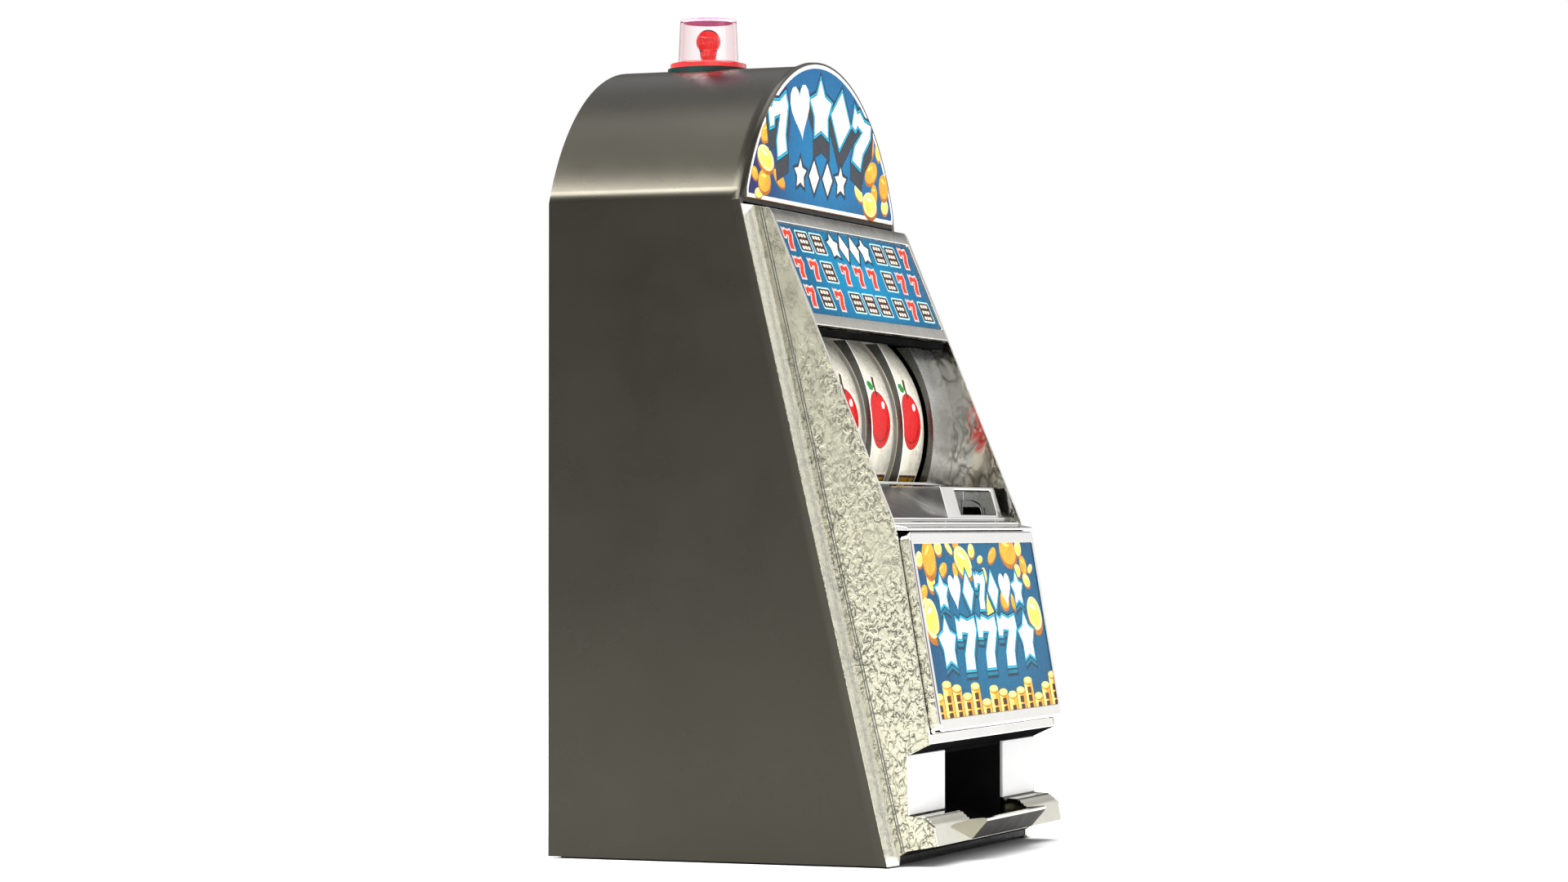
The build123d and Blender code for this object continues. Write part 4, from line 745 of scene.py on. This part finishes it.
def thicken(shape, push):
    """Closes a sheet into a solid: a moved copy of its faces behind it and walls round its edge."""
    fronts = list(shape.faces)
    rim = [e for e in shape.edges if len(e.link_faces) == 1]
    twin = {v: shape.verts.new(push(v.co)) for v in shape.verts[:]}
    for face in fronts:
        back = shape.faces.new([twin[v] for v in reversed(face.verts)])
        back.material_index = face.material_index
    for edge in rim:
        loop = next(candidate for candidate in edge.link_faces[0].loops if candidate.edge == edge)
        a, b = loop.vert, loop.link_loop_next.vert
        wall = shape.faces.new([b, a, twin[a], twin[b]])
        wall.material_index = edge.link_faces[0].material_index


Front = namedtuple("Front", "centre up outward half_width half_height")


def front_of(node):
    """A flat panel's front. Its half width and height are in millimetres."""
    mesh = frame["nodes"][node].data
    outward = max((p for p in mesh.polygons if p.normal.y < -0.5), key=lambda p: p.area).normal.copy()
    across = Vector((1, 0, 0))
    up = outward.cross(across)
    reach = max(v.co.dot(outward) for v in mesh.vertices)
    front = [v.co for v in mesh.vertices if v.co.dot(outward) > reach - 1e-5]
    ups = [p.dot(up) for p in front]
    half_width = max(p.x for p in front)
    centre = outward * reach + up * (max(ups) + min(ups)) / 2
    return Front(centre, up, outward, half_width / MM, (max(ups) - min(ups)) / 2 / MM)


def card(name, node, printed, inks):
    """A printed card in place of a CAD panel, as thick as the panel."""
    front = front_of(node)
    depths = [v.co.dot(front.outward) for v in frame["nodes"][node].data.vertices]
    thick = max(depths) - min(depths)

    def place(u, v):
        return front.centre + Vector((u * MM, 0, 0)) + front.up * v * MM

    mesh, shape, ink_names = cut_mesh(name, printed.shapes, place)
    thicken(shape, lambda p: p - front.outward * thick)
    shape.to_mesh(mesh)
    shape.free()
    for ink_name in ink_names:
        mesh.materials.append(inks[ink_name])
    piece = add_piece(name, mesh, "cabinet")
    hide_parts(node)


INKS = {
    "cream": ink("cream", (0.72, 0.69, 0.6)),
    "white": ink("white", (0.78, 0.78, 0.78)),
    "cyan": ink("cyan", (0.0, 0.4, 0.62)),
    "pale": ink("pale", (0.45, 0.75, 0.8)),
    "teal": ink("teal", (0.0, 0.16, 0.26)),
    "navy": ink("navy", (0.008, 0.03, 0.06)),
    "charcoal": ink("charcoal", (0.03, 0.036, 0.045)),
    "gold": ink("gold", (0.88, 0.6, 0.08), (0.95, 0.72, 0.14), 120.0),
    "gold_light": ink("gold_light", (0.95, 0.78, 0.3)),
    "amber": ink("amber", (0.8, 0.29, 0.02), (0.88, 0.42, 0.03), 120.0),
    "amber_dark": ink("amber_dark", (0.35, 0.1, 0.01), (0.5, 0.17, 0.01), 120.0),
    "brown": ink("brown", (0.06, 0.022, 0.01)),
    "red": ink("red", (0.56, 0.004, 0.004)),
    "red_dark": ink("red_dark", (0.26, 0.0, 0.003)),
    "coral": ink("coral", (0.84, 0.035, 0.02)),
    "blush": ink("blush", (0.88, 0.5, 0.42)),
    "green": ink("green", (0.01, 0.25, 0.03)),
    "olive": ink("olive", (0.32, 0.2, 0.02)),
    "strip": ink("strip", (0.82, 0.78, 0.66)),
}


# ---- the topper ----

SIGN_BORDER = 1.7
SIGN_ARC_STEPS = 60
END_BAND = 0.05


def sign_ring(inset):
    """The sign's outline from its panel: a round top over short upright ends."""
    front = front_of("topper_panel")
    mesh = frame["nodes"]["topper_panel"].data
    ends = [v.co.z for v in mesh.vertices if abs(v.co.x) > (front.half_width - END_BAND) * MM]
    spring = (max(ends) - front.centre.z) / MM
    rise = front.half_height - spring
    radius = (front.half_width**2 + rise**2) / (2 * rise)
    middle_v = front.half_height - radius
    side, reach = front.half_width - inset, radius - inset
    start = atan2(sqrt(reach**2 - side**2), side)
    arc = [start + (pi - 2 * start) * n / SIGN_ARC_STEPS for n in range(SIGN_ARC_STEPS + 1)]
    points = [(reach * cos(a), middle_v + reach * sin(a)) for a in arc]
    foot = -front.half_height + inset
    return points + [(-side, foot), (side, foot)]


def topper():
    """An arched row of big shapes over a small row, with coins at both ends."""
    art = Print()
    art.add("white", sign_ring(0.0))
    art.add("topper_blue", sign_ring(SIGN_BORDER))
    front = front_of("topper_panel")
    low = -front.half_height
    # coins at both ends, as (across, up from the foot, long radius, short radius, tilt, kind)
    coins = [
        (-79.0, 2.6, 4.4, 2.2, 0, 0),
        (-83.5, 11.0, 4.0, 2.6, -20, 1),
        (-72.0, 8.4, 7.3, 4.9, 0, 1),
        (-54.3, 10.8, 7.3, 2.8, -22, 1),
        (-70.6, 18.4, 9.8, 5.2, -14, 0),
        (-69.0, 30.2, 7.6, 3.8, 20, 1),
        (-60.5, 38.6, 4.2, 5.4, 20, 0),
        (-74.4, 36.6, 2.4, 1.6, 0, 1),
        (46.4, 11.6, 6.0, 2.9, -28, 0),
        (67.0, 12.6, 4.2, 4.4, 0, 1),
        (61.2, 7.2, 9.3, 5.6, -6, 0),
        (81.5, 7.6, 4.8, 3.5, 0, 0),
        (80.0, 17.0, 6.2, 5.6, -20, 1),
        (62.8, 22.2, 8.4, 4.6, 20, 1),
        (72.6, 32.6, 3.4, 4.2, 30, 0),
        (61.4, 34.8, 5.6, 5.6, 0, 1),
    ]
    for x, y, rx, ry, tilt, amber in coins:
        art.coin(x, low + y, rx, ry, tilt, *COIN_KINDS[amber])
    # an arched row of five big shapes over a deep drop shadow
    seven = placed(SEVEN, size=12.2, squeeze=1.16)
    heart = placed(heart_shape(), size=12.8)
    star = placed(star_shape(0.6), size=14.2)
    diamond = placed(DIAMOND, size=12.4, squeeze=1.25)
    row_radius = 134.0
    row_top = low + 44.8
    row_pitch, row_shift = 25.4, -2.5
    turn_per_mm = -0.36
    shapes = []
    for n, outline in enumerate((seven, heart, star, diamond, seven)):
        x = row_pitch * (n - 2) + row_shift
        y = row_top - row_radius + sqrt(row_radius**2 - x**2)
        shapes.append(placed(outline, x, y, turn=x * turn_per_mm))
    shadow_drops = (7.6, 6.0, 4.5, 3.0, 1.5, 0.0)
    art.layer("navy", shapes, 2.6, shadow_drops)
    art.layer("charcoal", shapes, 2.0, shadow_drops)
    for ink_name, distance in (("navy", 2.4), ("cyan", 1.3), ("teal", 0.6)):
        art.layer(ink_name, shapes, distance)
    for outline in shapes:
        art.add("cream", outline)
    # a small row below it
    small_size, small_pitch, small_shift, small_height = 7.0, 17.0, -3.0, 14.6
    for n, outline in enumerate((star_shape(0.52), DIAMOND, DIAMOND, star_shape(0.52))):
        x = small_shift + small_pitch * (n - 1.5)
        shape = placed(outline, x, low + small_height, small_size, squeeze=1.12)
        art.outlined(shape, "cream", [("navy", 1.7)])
    inks = dict(INKS)
    inks["topper_blue"] = field_ink(
        "topper_blue",
        centre=front.centre + Vector((0.004, 0, -0.01)),
        half_size=(0.092, 1, 0.06),
        middle=(0.0, 0.16, 0.35),
        outer=(0.0, 0.065, 0.19),
        side=(0.014, 0.014, 0.09),
    )
    card("topper_card", "topper_panel", art, inks)


topper()


# ---- the pay table ----


BADGE_WIDTH = 15.6
BADGE_HEIGHT = 10.6
BLOCK_PITCH = (3.3, 2.95)


def bar_badge(art, x, y):
    """A dark badge with three rows of pale blocks."""
    frame_height = BADGE_HEIGHT - 1.4
    art.add("pale", placed(rounded_box(BADGE_WIDTH, BADGE_HEIGHT, 1.2), x, y))
    art.add("charcoal", placed(rounded_box(BADGE_WIDTH - 1.4, frame_height, 0.9), x, y))
    art.add("brown", placed(rounded_box(BADGE_WIDTH - 3.0, frame_height, 0.5), x, y))
    block_shape = rounded_box(2.5, 1.6, 0.4)
    for row in (-1, 0, 1):
        for column in (-1, 0, 1):
            art.add("cream", placed(block_shape, x + BLOCK_PITCH[0] * column, y + BLOCK_PITCH[1] * row))


def red_seven(art, x, y):
    """A small seven with a pale edge."""
    seven = placed(SEVEN, x, y, 4.7, squeeze=1.25)
    art.outlined(seven, "coral", [("blush", 0.9)])


def pay_table():
    """Three rows of sevens and bar badges in three groups, under a heading of plain shapes."""
    art = Print()
    front = front_of("paytable_panel")
    art.add("pay_blue", placed(rounded_box(2 * front.half_width, 2 * front.half_height, 1.0)))
    pitch, group, row_step, lift = 17.6, 56.6, 13.6, 0.6
    rows = [("7bb", "", "bb7"), ("77b", "777", "b77"), ("7b7", "bbb", "b7b")]
    for row, groups in enumerate(rows):
        y = row_step * (1 - row) + lift
        for column, signs in enumerate(groups):
            for n, sign in enumerate(signs):
                x = group * (column - 1) + pitch * (n - 1)
                draw = red_seven if sign == "7" else bar_badge
                draw(art, x, y)
    heading_pitch, heading_size = 13.4, 6.4
    for n, outline in enumerate((star_shape(0.6), DIAMOND, DIAMOND, star_shape(0.6))):
        shape = placed(outline, heading_pitch * (n - 1.5), row_step + lift, heading_size, squeeze=1.1)
        art.outlined(shape, "cream", [("navy", 1.3)])
    inks = dict(INKS)
    inks["pay_blue"] = field_ink(
        "pay_blue",
        centre=front.centre,
        half_size=(0.09, 0.1, 0.03),
        middle=(0.0, 0.21, 0.4),
        outer=(0.0, 0.085, 0.185),
        side=(0.0, 0.085, 0.185),
    )
    card("paytable_card", "paytable_panel", art, inks)


pay_table()


# ---- the belly glass ----


NOTCH_HEIGHT = 3.0
NOTCH_PITCH = 3.7
STACK_HEADROOM = 1.5


def upright_box(left, right, foot, top):
    return [(left, foot), (right, foot), (right, top), (left, top)]


def coin_stack(art, x, foot, height, half_width):
    """A column of coins: lit left edge, dark notches down the middle, and an oval top."""
    left, right, top = x - half_width, x + half_width, foot + height
    art.add("gold", upright_box(left, right, foot, top))
    art.add("amber", upright_box(x, right, foot, top))
    art.add("gold_light", upright_box(left + 1, left + 2.2, foot, top))
    notch_low = foot
    while notch_low + NOTCH_HEIGHT < top - STACK_HEADROOM:
        art.add("brown", placed(rounded_box(5.2, NOTCH_HEIGHT, 0.4), x + 0.4, notch_low + 1.7))
        notch_low += NOTCH_PITCH
    art.add("amber_dark", oval(x, top, half_width, 1.7))
    art.add("gold", oval(x, top + 0.5, half_width, 1.6))
    art.add("gold_light", oval(x, top + 0.6, half_width * 0.7, 0.9))


def belly_glass():
    """Two rows of plain shapes between falling coins and a row of coin stacks."""
    art = Print()
    front = front_of("belly_panel")
    half_width, top = front.half_width, front.half_height
    art.add("belly_blue", placed(rounded_box(2 * half_width, 2 * top, 0.6)))
    # coins, as (across, down from the top, long radius, short radius, tilt, kind)
    coins = [
        (-66.0, 16.6, 5.0, 5.0, 0, 0),
        (-76.5, 7.6, 4.6, 3.2, 20, 0),
        (-64.0, 7.0, 8.8, 7.6, 30, 1),
        (-50.0, 2.6, 4.8, 3.4, 0, 0),
        (-48.0, 12.4, 6.0, 2.6, 18, 1),
        (-36.0, 3.0, 4.8, 1.9, -28, 0),
        (-26.0, 1.2, 4.0, 2.2, 0, 1),
        (-32.0, 13.0, 3.0, 3.4, 0, 1),
        (-19.4, 9.4, 11.2, 6.6, -18, 0),
        (-6.0, 4.4, 4.3, 3.1, 10, 0),
        (4.2, 8.4, 3.9, 1.6, 10, 0),
        (7.0, 15.4, 3.1, 3.3, 0, 0),
        (22.0, 6.6, 6.8, 2.7, 22, 1),
        (45.6, 4.6, 11.4, 6.4, -6, 1),
        (61.0, 3.4, 4.6, 3.8, 20, 0),
        (55.0, 14.0, 4.4, 3.0, 0, 0),
        (64.6, 11.4, 4.8, 4.2, -20, 1),
        (74.0, 13.2, 3.8, 1.7, 20, 0),
        (66.0, 18.6, 5.0, 2.9, -16, 0),
        (-77.0, 21.6, 4.8, 2.6, 20, 1),
        (-77.5, 26.0, 3.6, 1.6, 10, 0),
        (-71.5, 41.6, 4.0, 2.6, 0, 1),
        (-73.0, 33.4, 8.8, 8.6, 20, 0),
        (70.0, 34.0, 9.8, 7.6, -16, 0),
        (6.0, 28.0, 8.0, 7.0, 0, 0),
        (30.0, 27.0, 6.0, 4.0, 0, 1),
        (44.0, 27.5, 5.0, 4.0, 0, 1),
    ]
    for x, down, rx, ry, tilt, amber in coins:
        art.coin(x, top - down, rx, ry, tilt, *COIN_KINDS[amber])
    heights = [10, 15, 13, 9, 13, 5.5, 11, 9, 7.5, 9, 13, 5.5, 10, 14.5]
    stack_pitch = 2 * half_width / (len(heights) - 0.6)
    for n, height in enumerate(heights):
        coin_stack(art, -half_width + stack_pitch * (n + 0.25), -top, height, stack_pitch * 0.47)
    # two rows of plain shapes with a short drop shadow
    heart = heart_shape()
    upper = [star_shape(0.56), heart, DIAMOND, SEVEN, DIAMOND, heart, star_shape(0.56)]
    upper_size, upper_pitch, upper_down = 8.0, 17.4, 22.6
    lower_size, lower_pitch, lower_down = 11.4, 28.5, 45.4
    star_size, star_reach, star_down = 11.6, 55.0, 45.0
    shift = -1.5
    shapes = []
    for n, outline in enumerate(upper):
        x = upper_pitch * (n - 3) + shift
        shapes.append(placed(outline, x, top - upper_down, upper_size, squeeze=1.06))
    for n in (-1, 0, 1):
        shapes.append(placed(SEVEN, lower_pitch * n + shift, top - lower_down, lower_size, squeeze=1.36))
    for side in (-1, 1):
        shapes.append(placed(star_shape(0.6), star_reach * side + shift, top - star_down, star_size))
    art.layer("navy", shapes, 1.9, (2.8, 1.4))
    art.layer("teal", shapes, 1.2, (2.2, 1.1))
    for ink_name, distance in (("navy", 1.9), ("cyan", 1.1), ("teal", 0.4)):
        art.layer(ink_name, shapes, distance)
    for outline in shapes:
        art.add("white", outline)
    inks = dict(INKS)
    inks["belly_blue"] = field_ink(
        "belly_blue",
        centre=front.centre,
        half_size=(0.1, 0.1, 0.05),
        middle=(0.0, 0.13, 0.25),
        outer=(0.0, 0.068, 0.155),
        side=(0.0, 0.05, 0.13),
    )
    card("belly_card", "belly_panel", art, inks)


belly_glass()


# ---- reel strips ----

STRIP_LIFT = 0.12
STRIP_GAP = 0.02
STRIP_MARGIN = 0.4
STRIP_FACETS = 120
SYMBOL_SHIFT = 1.6
SYMBOLS = 8
CHERRY_ANGLE = 5.0


def cherry(art, x, y):
    art.outlined(oval(x, y, 12.0, 12.6), "red", [("red_dark", 0.5)])
    art.add("red_dark", oval(x - 0.5, y - 3.0, 9.6, 7.2))
    art.add("red", oval(x - 1.0, y - 1.2, 10.2, 8.2))
    crescent = [(4.5, -9.5), (9.0, -4.0), (10.0, 2.0), (8.4, -2.4), (6.0, -6.6)]
    art.add("red_dark", placed(crescent, x, y))
    art.add("white", oval(x + 5.6, y + 6.6, 2.2, 1.7, 20, 16))
    stem = [(-0.6, 10.5), (1.2, 10.5), (1.5, 15.5), (3.6, 19.6), (1.4, 20.4), (-0.9, 16.4)]
    art.add("brown", placed(stem, x, y))
    leaf = [(-0.6, 15.2), (-3.2, 17.6), (-6.4, 17.8), (-8.0, 16.2), (-6.6, 13.6), (-3.0, 13.2)]
    art.add("green", placed(leaf, x, y))


def triple_bar(art, x, y):
    bar_pitch = 12.6
    for n in (-1, 0, 1):
        by = y + bar_pitch * n
        art.add("brown", placed(rounded_box(30.0, 11.8, 0.8), x, by))
        art.add("olive", placed(rounded_box(26.6, 9.4, 0.6), x, by))
        for side in (-1, 1):
            art.add("brown", placed(rounded_box(1.2, 9.4, 0.3), x + side * 6.4, by))
        art.add("gold", placed(rounded_box(10.4, 4.6, 0.6), x, by))


def bell(art, x, y):
    right = [(3.6, 8.6), (6.4, 4), (8, -3), (11, -7)]
    left = [(-u, v) for u, v in reversed(right)]
    shine = [(-4.6, 3), (-3.2, 6.4), (-1.6, 7.4), (-3.2, 2), (-5.0, -3), (-6.4, -3)]
    art.add("amber_dark", oval(x, y - 8.0, 3.0, 2.6))
    art.outlined(placed(left + [(0, 10)] + right, x, y), "gold", [("amber_dark", 0.8)])
    art.add("gold_light", placed(shine, x, y))


def reel_star(art, x, y):
    art.outlined(placed(star_shape(0.5), x, y, 11.0), "gold", [("amber_dark", 0.8)])
    art.add("gold_light", placed(star_shape(0.5), x, y + 0.4, 6.5))


def reel_seven(art, x, y):
    art.outlined(placed(SEVEN, x, y, 11.0, squeeze=1.1), "coral", [("red_dark", 0.8)])


def blank(art, x, y):
    """A stop without a symbol."""


def lemon(art, x, y):
    art.outlined(oval(x, y, 11.6, 8.4, 18), "gold", [("amber", 0.7)])
    art.add("gold_light", oval(x - 3.0, y + 2.6, 4.4, 2.4, 18))
    art.add("green", placed([(8, 4), (12, 7), (10.5, 10), (7, 8)], x, y))


STRIP_ORDER = [cherry, triple_bar, lemon, reel_seven, cherry, bell, triple_bar, reel_star]
FIXED_STOPS = {0: cherry, 1: triple_bar, SYMBOLS - 1: blank}


def symbol_at(stop, shift):
    """The symbol of a stop. The one in the window at rest and its neighbours are the same on every drum."""
    return FIXED_STOPS.get(stop) or STRIP_ORDER[(stop + shift) % SYMBOLS]


def reel_strip(number, body, shift):
    """A printed strip wrapped round a drum."""
    node = f"reel_{number}"
    low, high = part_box(node)
    centre = (low + high) / 2
    radius = (high.z - low.z) / 2 / MM + STRIP_LIFT
    half = (high.x - low.x) / 2 / MM - STRIP_MARGIN
    length = 2 * pi * radius
    art = Print()
    art.add("strip", [(-half, 0), (half, 0), (half, length), (-half, length)])
    step = length / SYMBOLS
    first = radians(CHERRY_ANGLE + 90) * radius
    for stop in range(SYMBOLS):
        draw = symbol_at(stop, shift)
        draw(art, SYMBOL_SHIFT, (first - stop * step) % length)
    # lines across the strip, where it bends round the drum
    heights = [length * n / STRIP_FACETS for n in range(1, STRIP_FACETS)]
    lines = [((-half, v), (half, v)) for v in heights]

    def place(u, v):
        a = v / radius - pi / 2
        return centre + Vector((u, -radius * cos(a), radius * sin(a))) * MM

    mesh, shape, ink_names = cut_mesh(f"reel_strip_{number}", art.shapes, place, lines)
    bmesh.ops.remove_doubles(shape, verts=shape.verts, dist=1e-7)

    def inward(p):
        out = Vector((0, p.y - centre.y, p.z - centre.z)).normalized()
        return p - out * (STRIP_LIFT - STRIP_GAP) * MM

    bmesh.ops.recalc_face_normals(shape, faces=shape.faces)
    thicken(shape, inward)
    shape.to_mesh(mesh)
    shape.free()
    for ink_name in ink_names:
        mesh.materials.append(INKS[ink_name])
    mesh.shade_smooth()
    add_piece(f"reel_strip_{number}", mesh, body)


STOPS_BETWEEN_DRUMS = 3

for strip_number, strip_body in enumerate(("reel_left", "reel_centre", "reel_right"), start=1):
    reel_strip(strip_number, strip_body, STOPS_BETWEEN_DRUMS * (strip_number - 1))


# ---- filament inside the bulb ----


WIRE_SIDES = 6
POST_RADIUS = 0.16
COIL_RADIUS = 0.14
COIL_WIDTH = 4.4
COIL_STEPS = 12
COIL_RISE = 0.5
COIL_BELOW_TOP = 4.6


def tube(shape, points, radius):
    """A thin wire along a run of points."""
    rings = []
    for n, point in enumerate(points):
        before, after = points[max(n - 1, 0)], points[min(n + 1, len(points) - 1)]
        along = (after - before).normalized()
        across = along.orthogonal().normalized()
        upright = along.cross(across)
        turns = [2 * pi * k / WIRE_SIDES for k in range(WIRE_SIDES)]
        rings.append([shape.verts.new(point + (across * cos(a) + upright * sin(a)) * radius) for a in turns])
    for first, second in zip(rings, rings[1:]):
        shift = min(range(WIRE_SIDES), key=lambda k: (second[k].co - first[0].co).length)
        second[:] = second[shift:] + second[:shift]
        for k in range(WIRE_SIDES):
            nxt = (k + 1) % WIRE_SIDES
            shape.faces.new([first[k], first[nxt], second[nxt], second[k]])
    shape.faces.new(rings[0][::-1])
    shape.faces.new(rings[-1])


def filament():
    """Two posts that spread apart upwards, and a zigzag coil between their tops."""
    low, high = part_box("lamp_bulb")
    middle = (low + high) / 2
    top = high.z - COIL_BELOW_TOP * MM
    # each post's points, as (out from the middle in millimetres, height)
    bends = [(0.7, low.z + 1.5 * MM), (0.9, high.z - 12 * MM), (COIL_WIDTH / 2, top)]
    shape = bmesh.new()
    for side in (-1, 1):
        post = [Vector((middle.x, middle.y + side * reach * MM, z)) for reach, z in bends]
        tube(shape, post, POST_RADIUS * MM)
    coil = []
    for n in range(COIL_STEPS + 1):
        along = (n / COIL_STEPS - 0.5) * COIL_WIDTH * MM
        rise = COIL_RISE if n % 2 else -COIL_RISE
        coil.append(Vector((middle.x, middle.y + along, top + rise * MM)))
    tube(shape, coil, COIL_RADIUS * MM)
    bmesh.ops.recalc_face_normals(shape, faces=shape.faces)
    mesh = bpy.data.meshes.new("filament")
    shape.to_mesh(mesh)
    shape.free()
    mesh.materials.append(FILAMENT)
    add_piece("filament", mesh, "cabinet")


filament()


# ---- floor, light and camera ----

FLOOR_HALF = 6.0
SUN_POWER = 3.3
SUN_SPREAD = 70
SUN_TILT = (8, -6)


def add_floor():
    """A wide pale floor at height zero."""
    mesh = bpy.data.meshes.new("floor")
    corners = [(-1, -1), (1, -1), (1, 1), (-1, 1)]
    mesh.from_pydata([(x * FLOOR_HALF, y * FLOOR_HALF, 0) for x, y in corners], [], [(0, 1, 2, 3)])
    floor = bpy.data.objects.new("floor", mesh)
    bpy.context.scene.collection.objects.link(floor)
    finish = plain_finish("floor_white", (0.9, 0.9, 0.9), 0.0, (0.6, 0.7), 0.01, 3.0, 300.0, 0.02)
    mesh.materials.append(finish)


def add_light(name, place, target, size, power):
    """A rectangular softbox that looks at a target."""
    data = bpy.data.lights.new(name, "AREA")
    data.shape = "RECTANGLE"
    data.size, data.size_y = size
    data.energy = power
    light = bpy.data.objects.new(name, data)
    light.location = place
    light.rotation_euler = (Vector(target) - Vector(place)).to_track_quat("-Z", "Y").to_euler()
    bpy.context.scene.collection.objects.link(light)


def add_sun():
    """An even overhead light that keeps the whole floor pale."""
    data = bpy.data.lights.new("overhead", "SUN")
    data.energy = SUN_POWER
    data.angle = radians(SUN_SPREAD)
    light = bpy.data.objects.new("overhead", data)
    light.rotation_euler = (radians(SUN_TILT[0]), radians(SUN_TILT[1]), 0)
    bpy.context.scene.collection.objects.link(light)


# sky brightness by height, from just under the horizon to the zenith
SKY_LEVELS = [(0.0, 0.75), (0.12, 0.68), (0.24, 0.22), (0.5, 0.12), (0.75, 0.25), (1.0, 0.3)]
BRIGHT_SIDES = [(0.804, -0.583, 0.12), (-0.78, -0.57, 0.26)]
BRIGHT_COLOUR = (1.15, 1.15, 1.15)
BRIGHT_FROM = 0.88
BRIGHT_FULL = 0.965


def add_world():
    """A grey studio sky for reflections and a plain white backdrop."""
    world = bpy.data.worlds.new("studio")
    bpy.context.scene.world = world
    world.use_nodes = True
    tree = world.node_tree
    sky = tree.nodes["Background"]
    where = tree.nodes.new("ShaderNodeTexCoord")
    split = tree.nodes.new("ShaderNodeSeparateXYZ")
    tree.links.new(where.outputs["Generated"], split.inputs["Vector"])
    ramp = tree.nodes.new("ShaderNodeValToRGB")
    tree.links.new(spread(tree, split.outputs["Z"], 0.0, 1.0, -0.1, 1.0), ramp.inputs["Fac"])
    steps = ramp.color_ramp.elements
    steps[0].position = 0.0
    steps[1].position = 1.0
    for stop, level in zip(steps, (SKY_LEVELS[0][1], SKY_LEVELS[-1][1])):
        stop.color = (level, level, level, 1)
    for position, level in SKY_LEVELS[1:-1]:
        stop = steps.new(position)
        stop.color = (level, level, level, 1)
    # the room is brighter to the front right and front left
    toward = []
    for side in BRIGHT_SIDES:
        along = tree.nodes.new("ShaderNodeVectorMath")
        along.operation = "DOT_PRODUCT"
        along.inputs[1].default_value = side
        tree.links.new(where.outputs["Generated"], along.inputs[0])
        toward.append(along.outputs["Value"])
    nearest = combined(tree, "MAXIMUM", *toward)
    lit = spread(tree, nearest, 0.0, 1.0, BRIGHT_FROM, BRIGHT_FULL)
    tree.links.new(blend_colours(tree, lit, ramp.outputs["Color"], BRIGHT_COLOUR), sky.inputs["Color"])
    backdrop = tree.nodes.new("ShaderNodeBackground")
    backdrop.inputs["Color"].default_value = (1, 1, 1, 1)
    # the backdrop is seen directly and through the clear lamp, but not in reflections
    path = tree.nodes.new("ShaderNodeLightPath")
    seen = combined(tree, "MAXIMUM", path.outputs["Is Camera Ray"], path.outputs["Is Transmission Ray"])
    choose = tree.nodes.new("ShaderNodeMixShader")
    tree.links.new(seen, choose.inputs["Fac"])
    tree.links.new(sky.outputs["Background"], choose.inputs[1])
    tree.links.new(backdrop.outputs["Background"], choose.inputs[2])
    tree.links.new(choose.outputs["Shader"], tree.nodes["World Output"].inputs["Surface"])


CAMERA_PLACE = (-1.7581, -0.6768, 0.1457)
CAMERA_AIM = (0.9319, 0.3621, 0.0198)
CAMERA_LENS = 95.83
SENSOR_WIDTH = 36.0


def add_camera():
    """The camera at the photograph's place and angle."""
    data = bpy.data.cameras.new("camera")
    data.lens = CAMERA_LENS
    data.sensor_width = SENSOR_WIDTH
    camera = bpy.data.objects.new("camera", data)
    camera.location = CAMERA_PLACE
    camera.rotation_euler = Vector(CAMERA_AIM).to_track_quat("-Z", "Y").to_euler()
    bpy.context.scene.collection.objects.link(camera)
    bpy.context.scene.camera = camera


# softboxes, as (name, place, target, size, power)
SOFTBOXES = [
    ("dome_softbox", (-1.32, 0.76, 1.52), (-0.09, 0.03, 0.29), (1.7, 0.46), 92),
    ("rear_softbox", (1.1, 0.8, 2.0), (0, 0.03, 0.3), (2.2, 2.0), 5),
    ("front_softbox", (-0.4, -2.2, 1.3), (0, 0, 0.15), (1.6, 1.2), 13),
    ("top_softbox", (0.3, -0.2, 2.4), (0, 0, 0), (1.8, 1.8), 12),
]

add_floor()
add_world()
add_camera()
for softbox in SOFTBOXES:
    add_light(*softbox)
add_sun()
bpy.context.scene.view_settings.view_transform = "Standard"
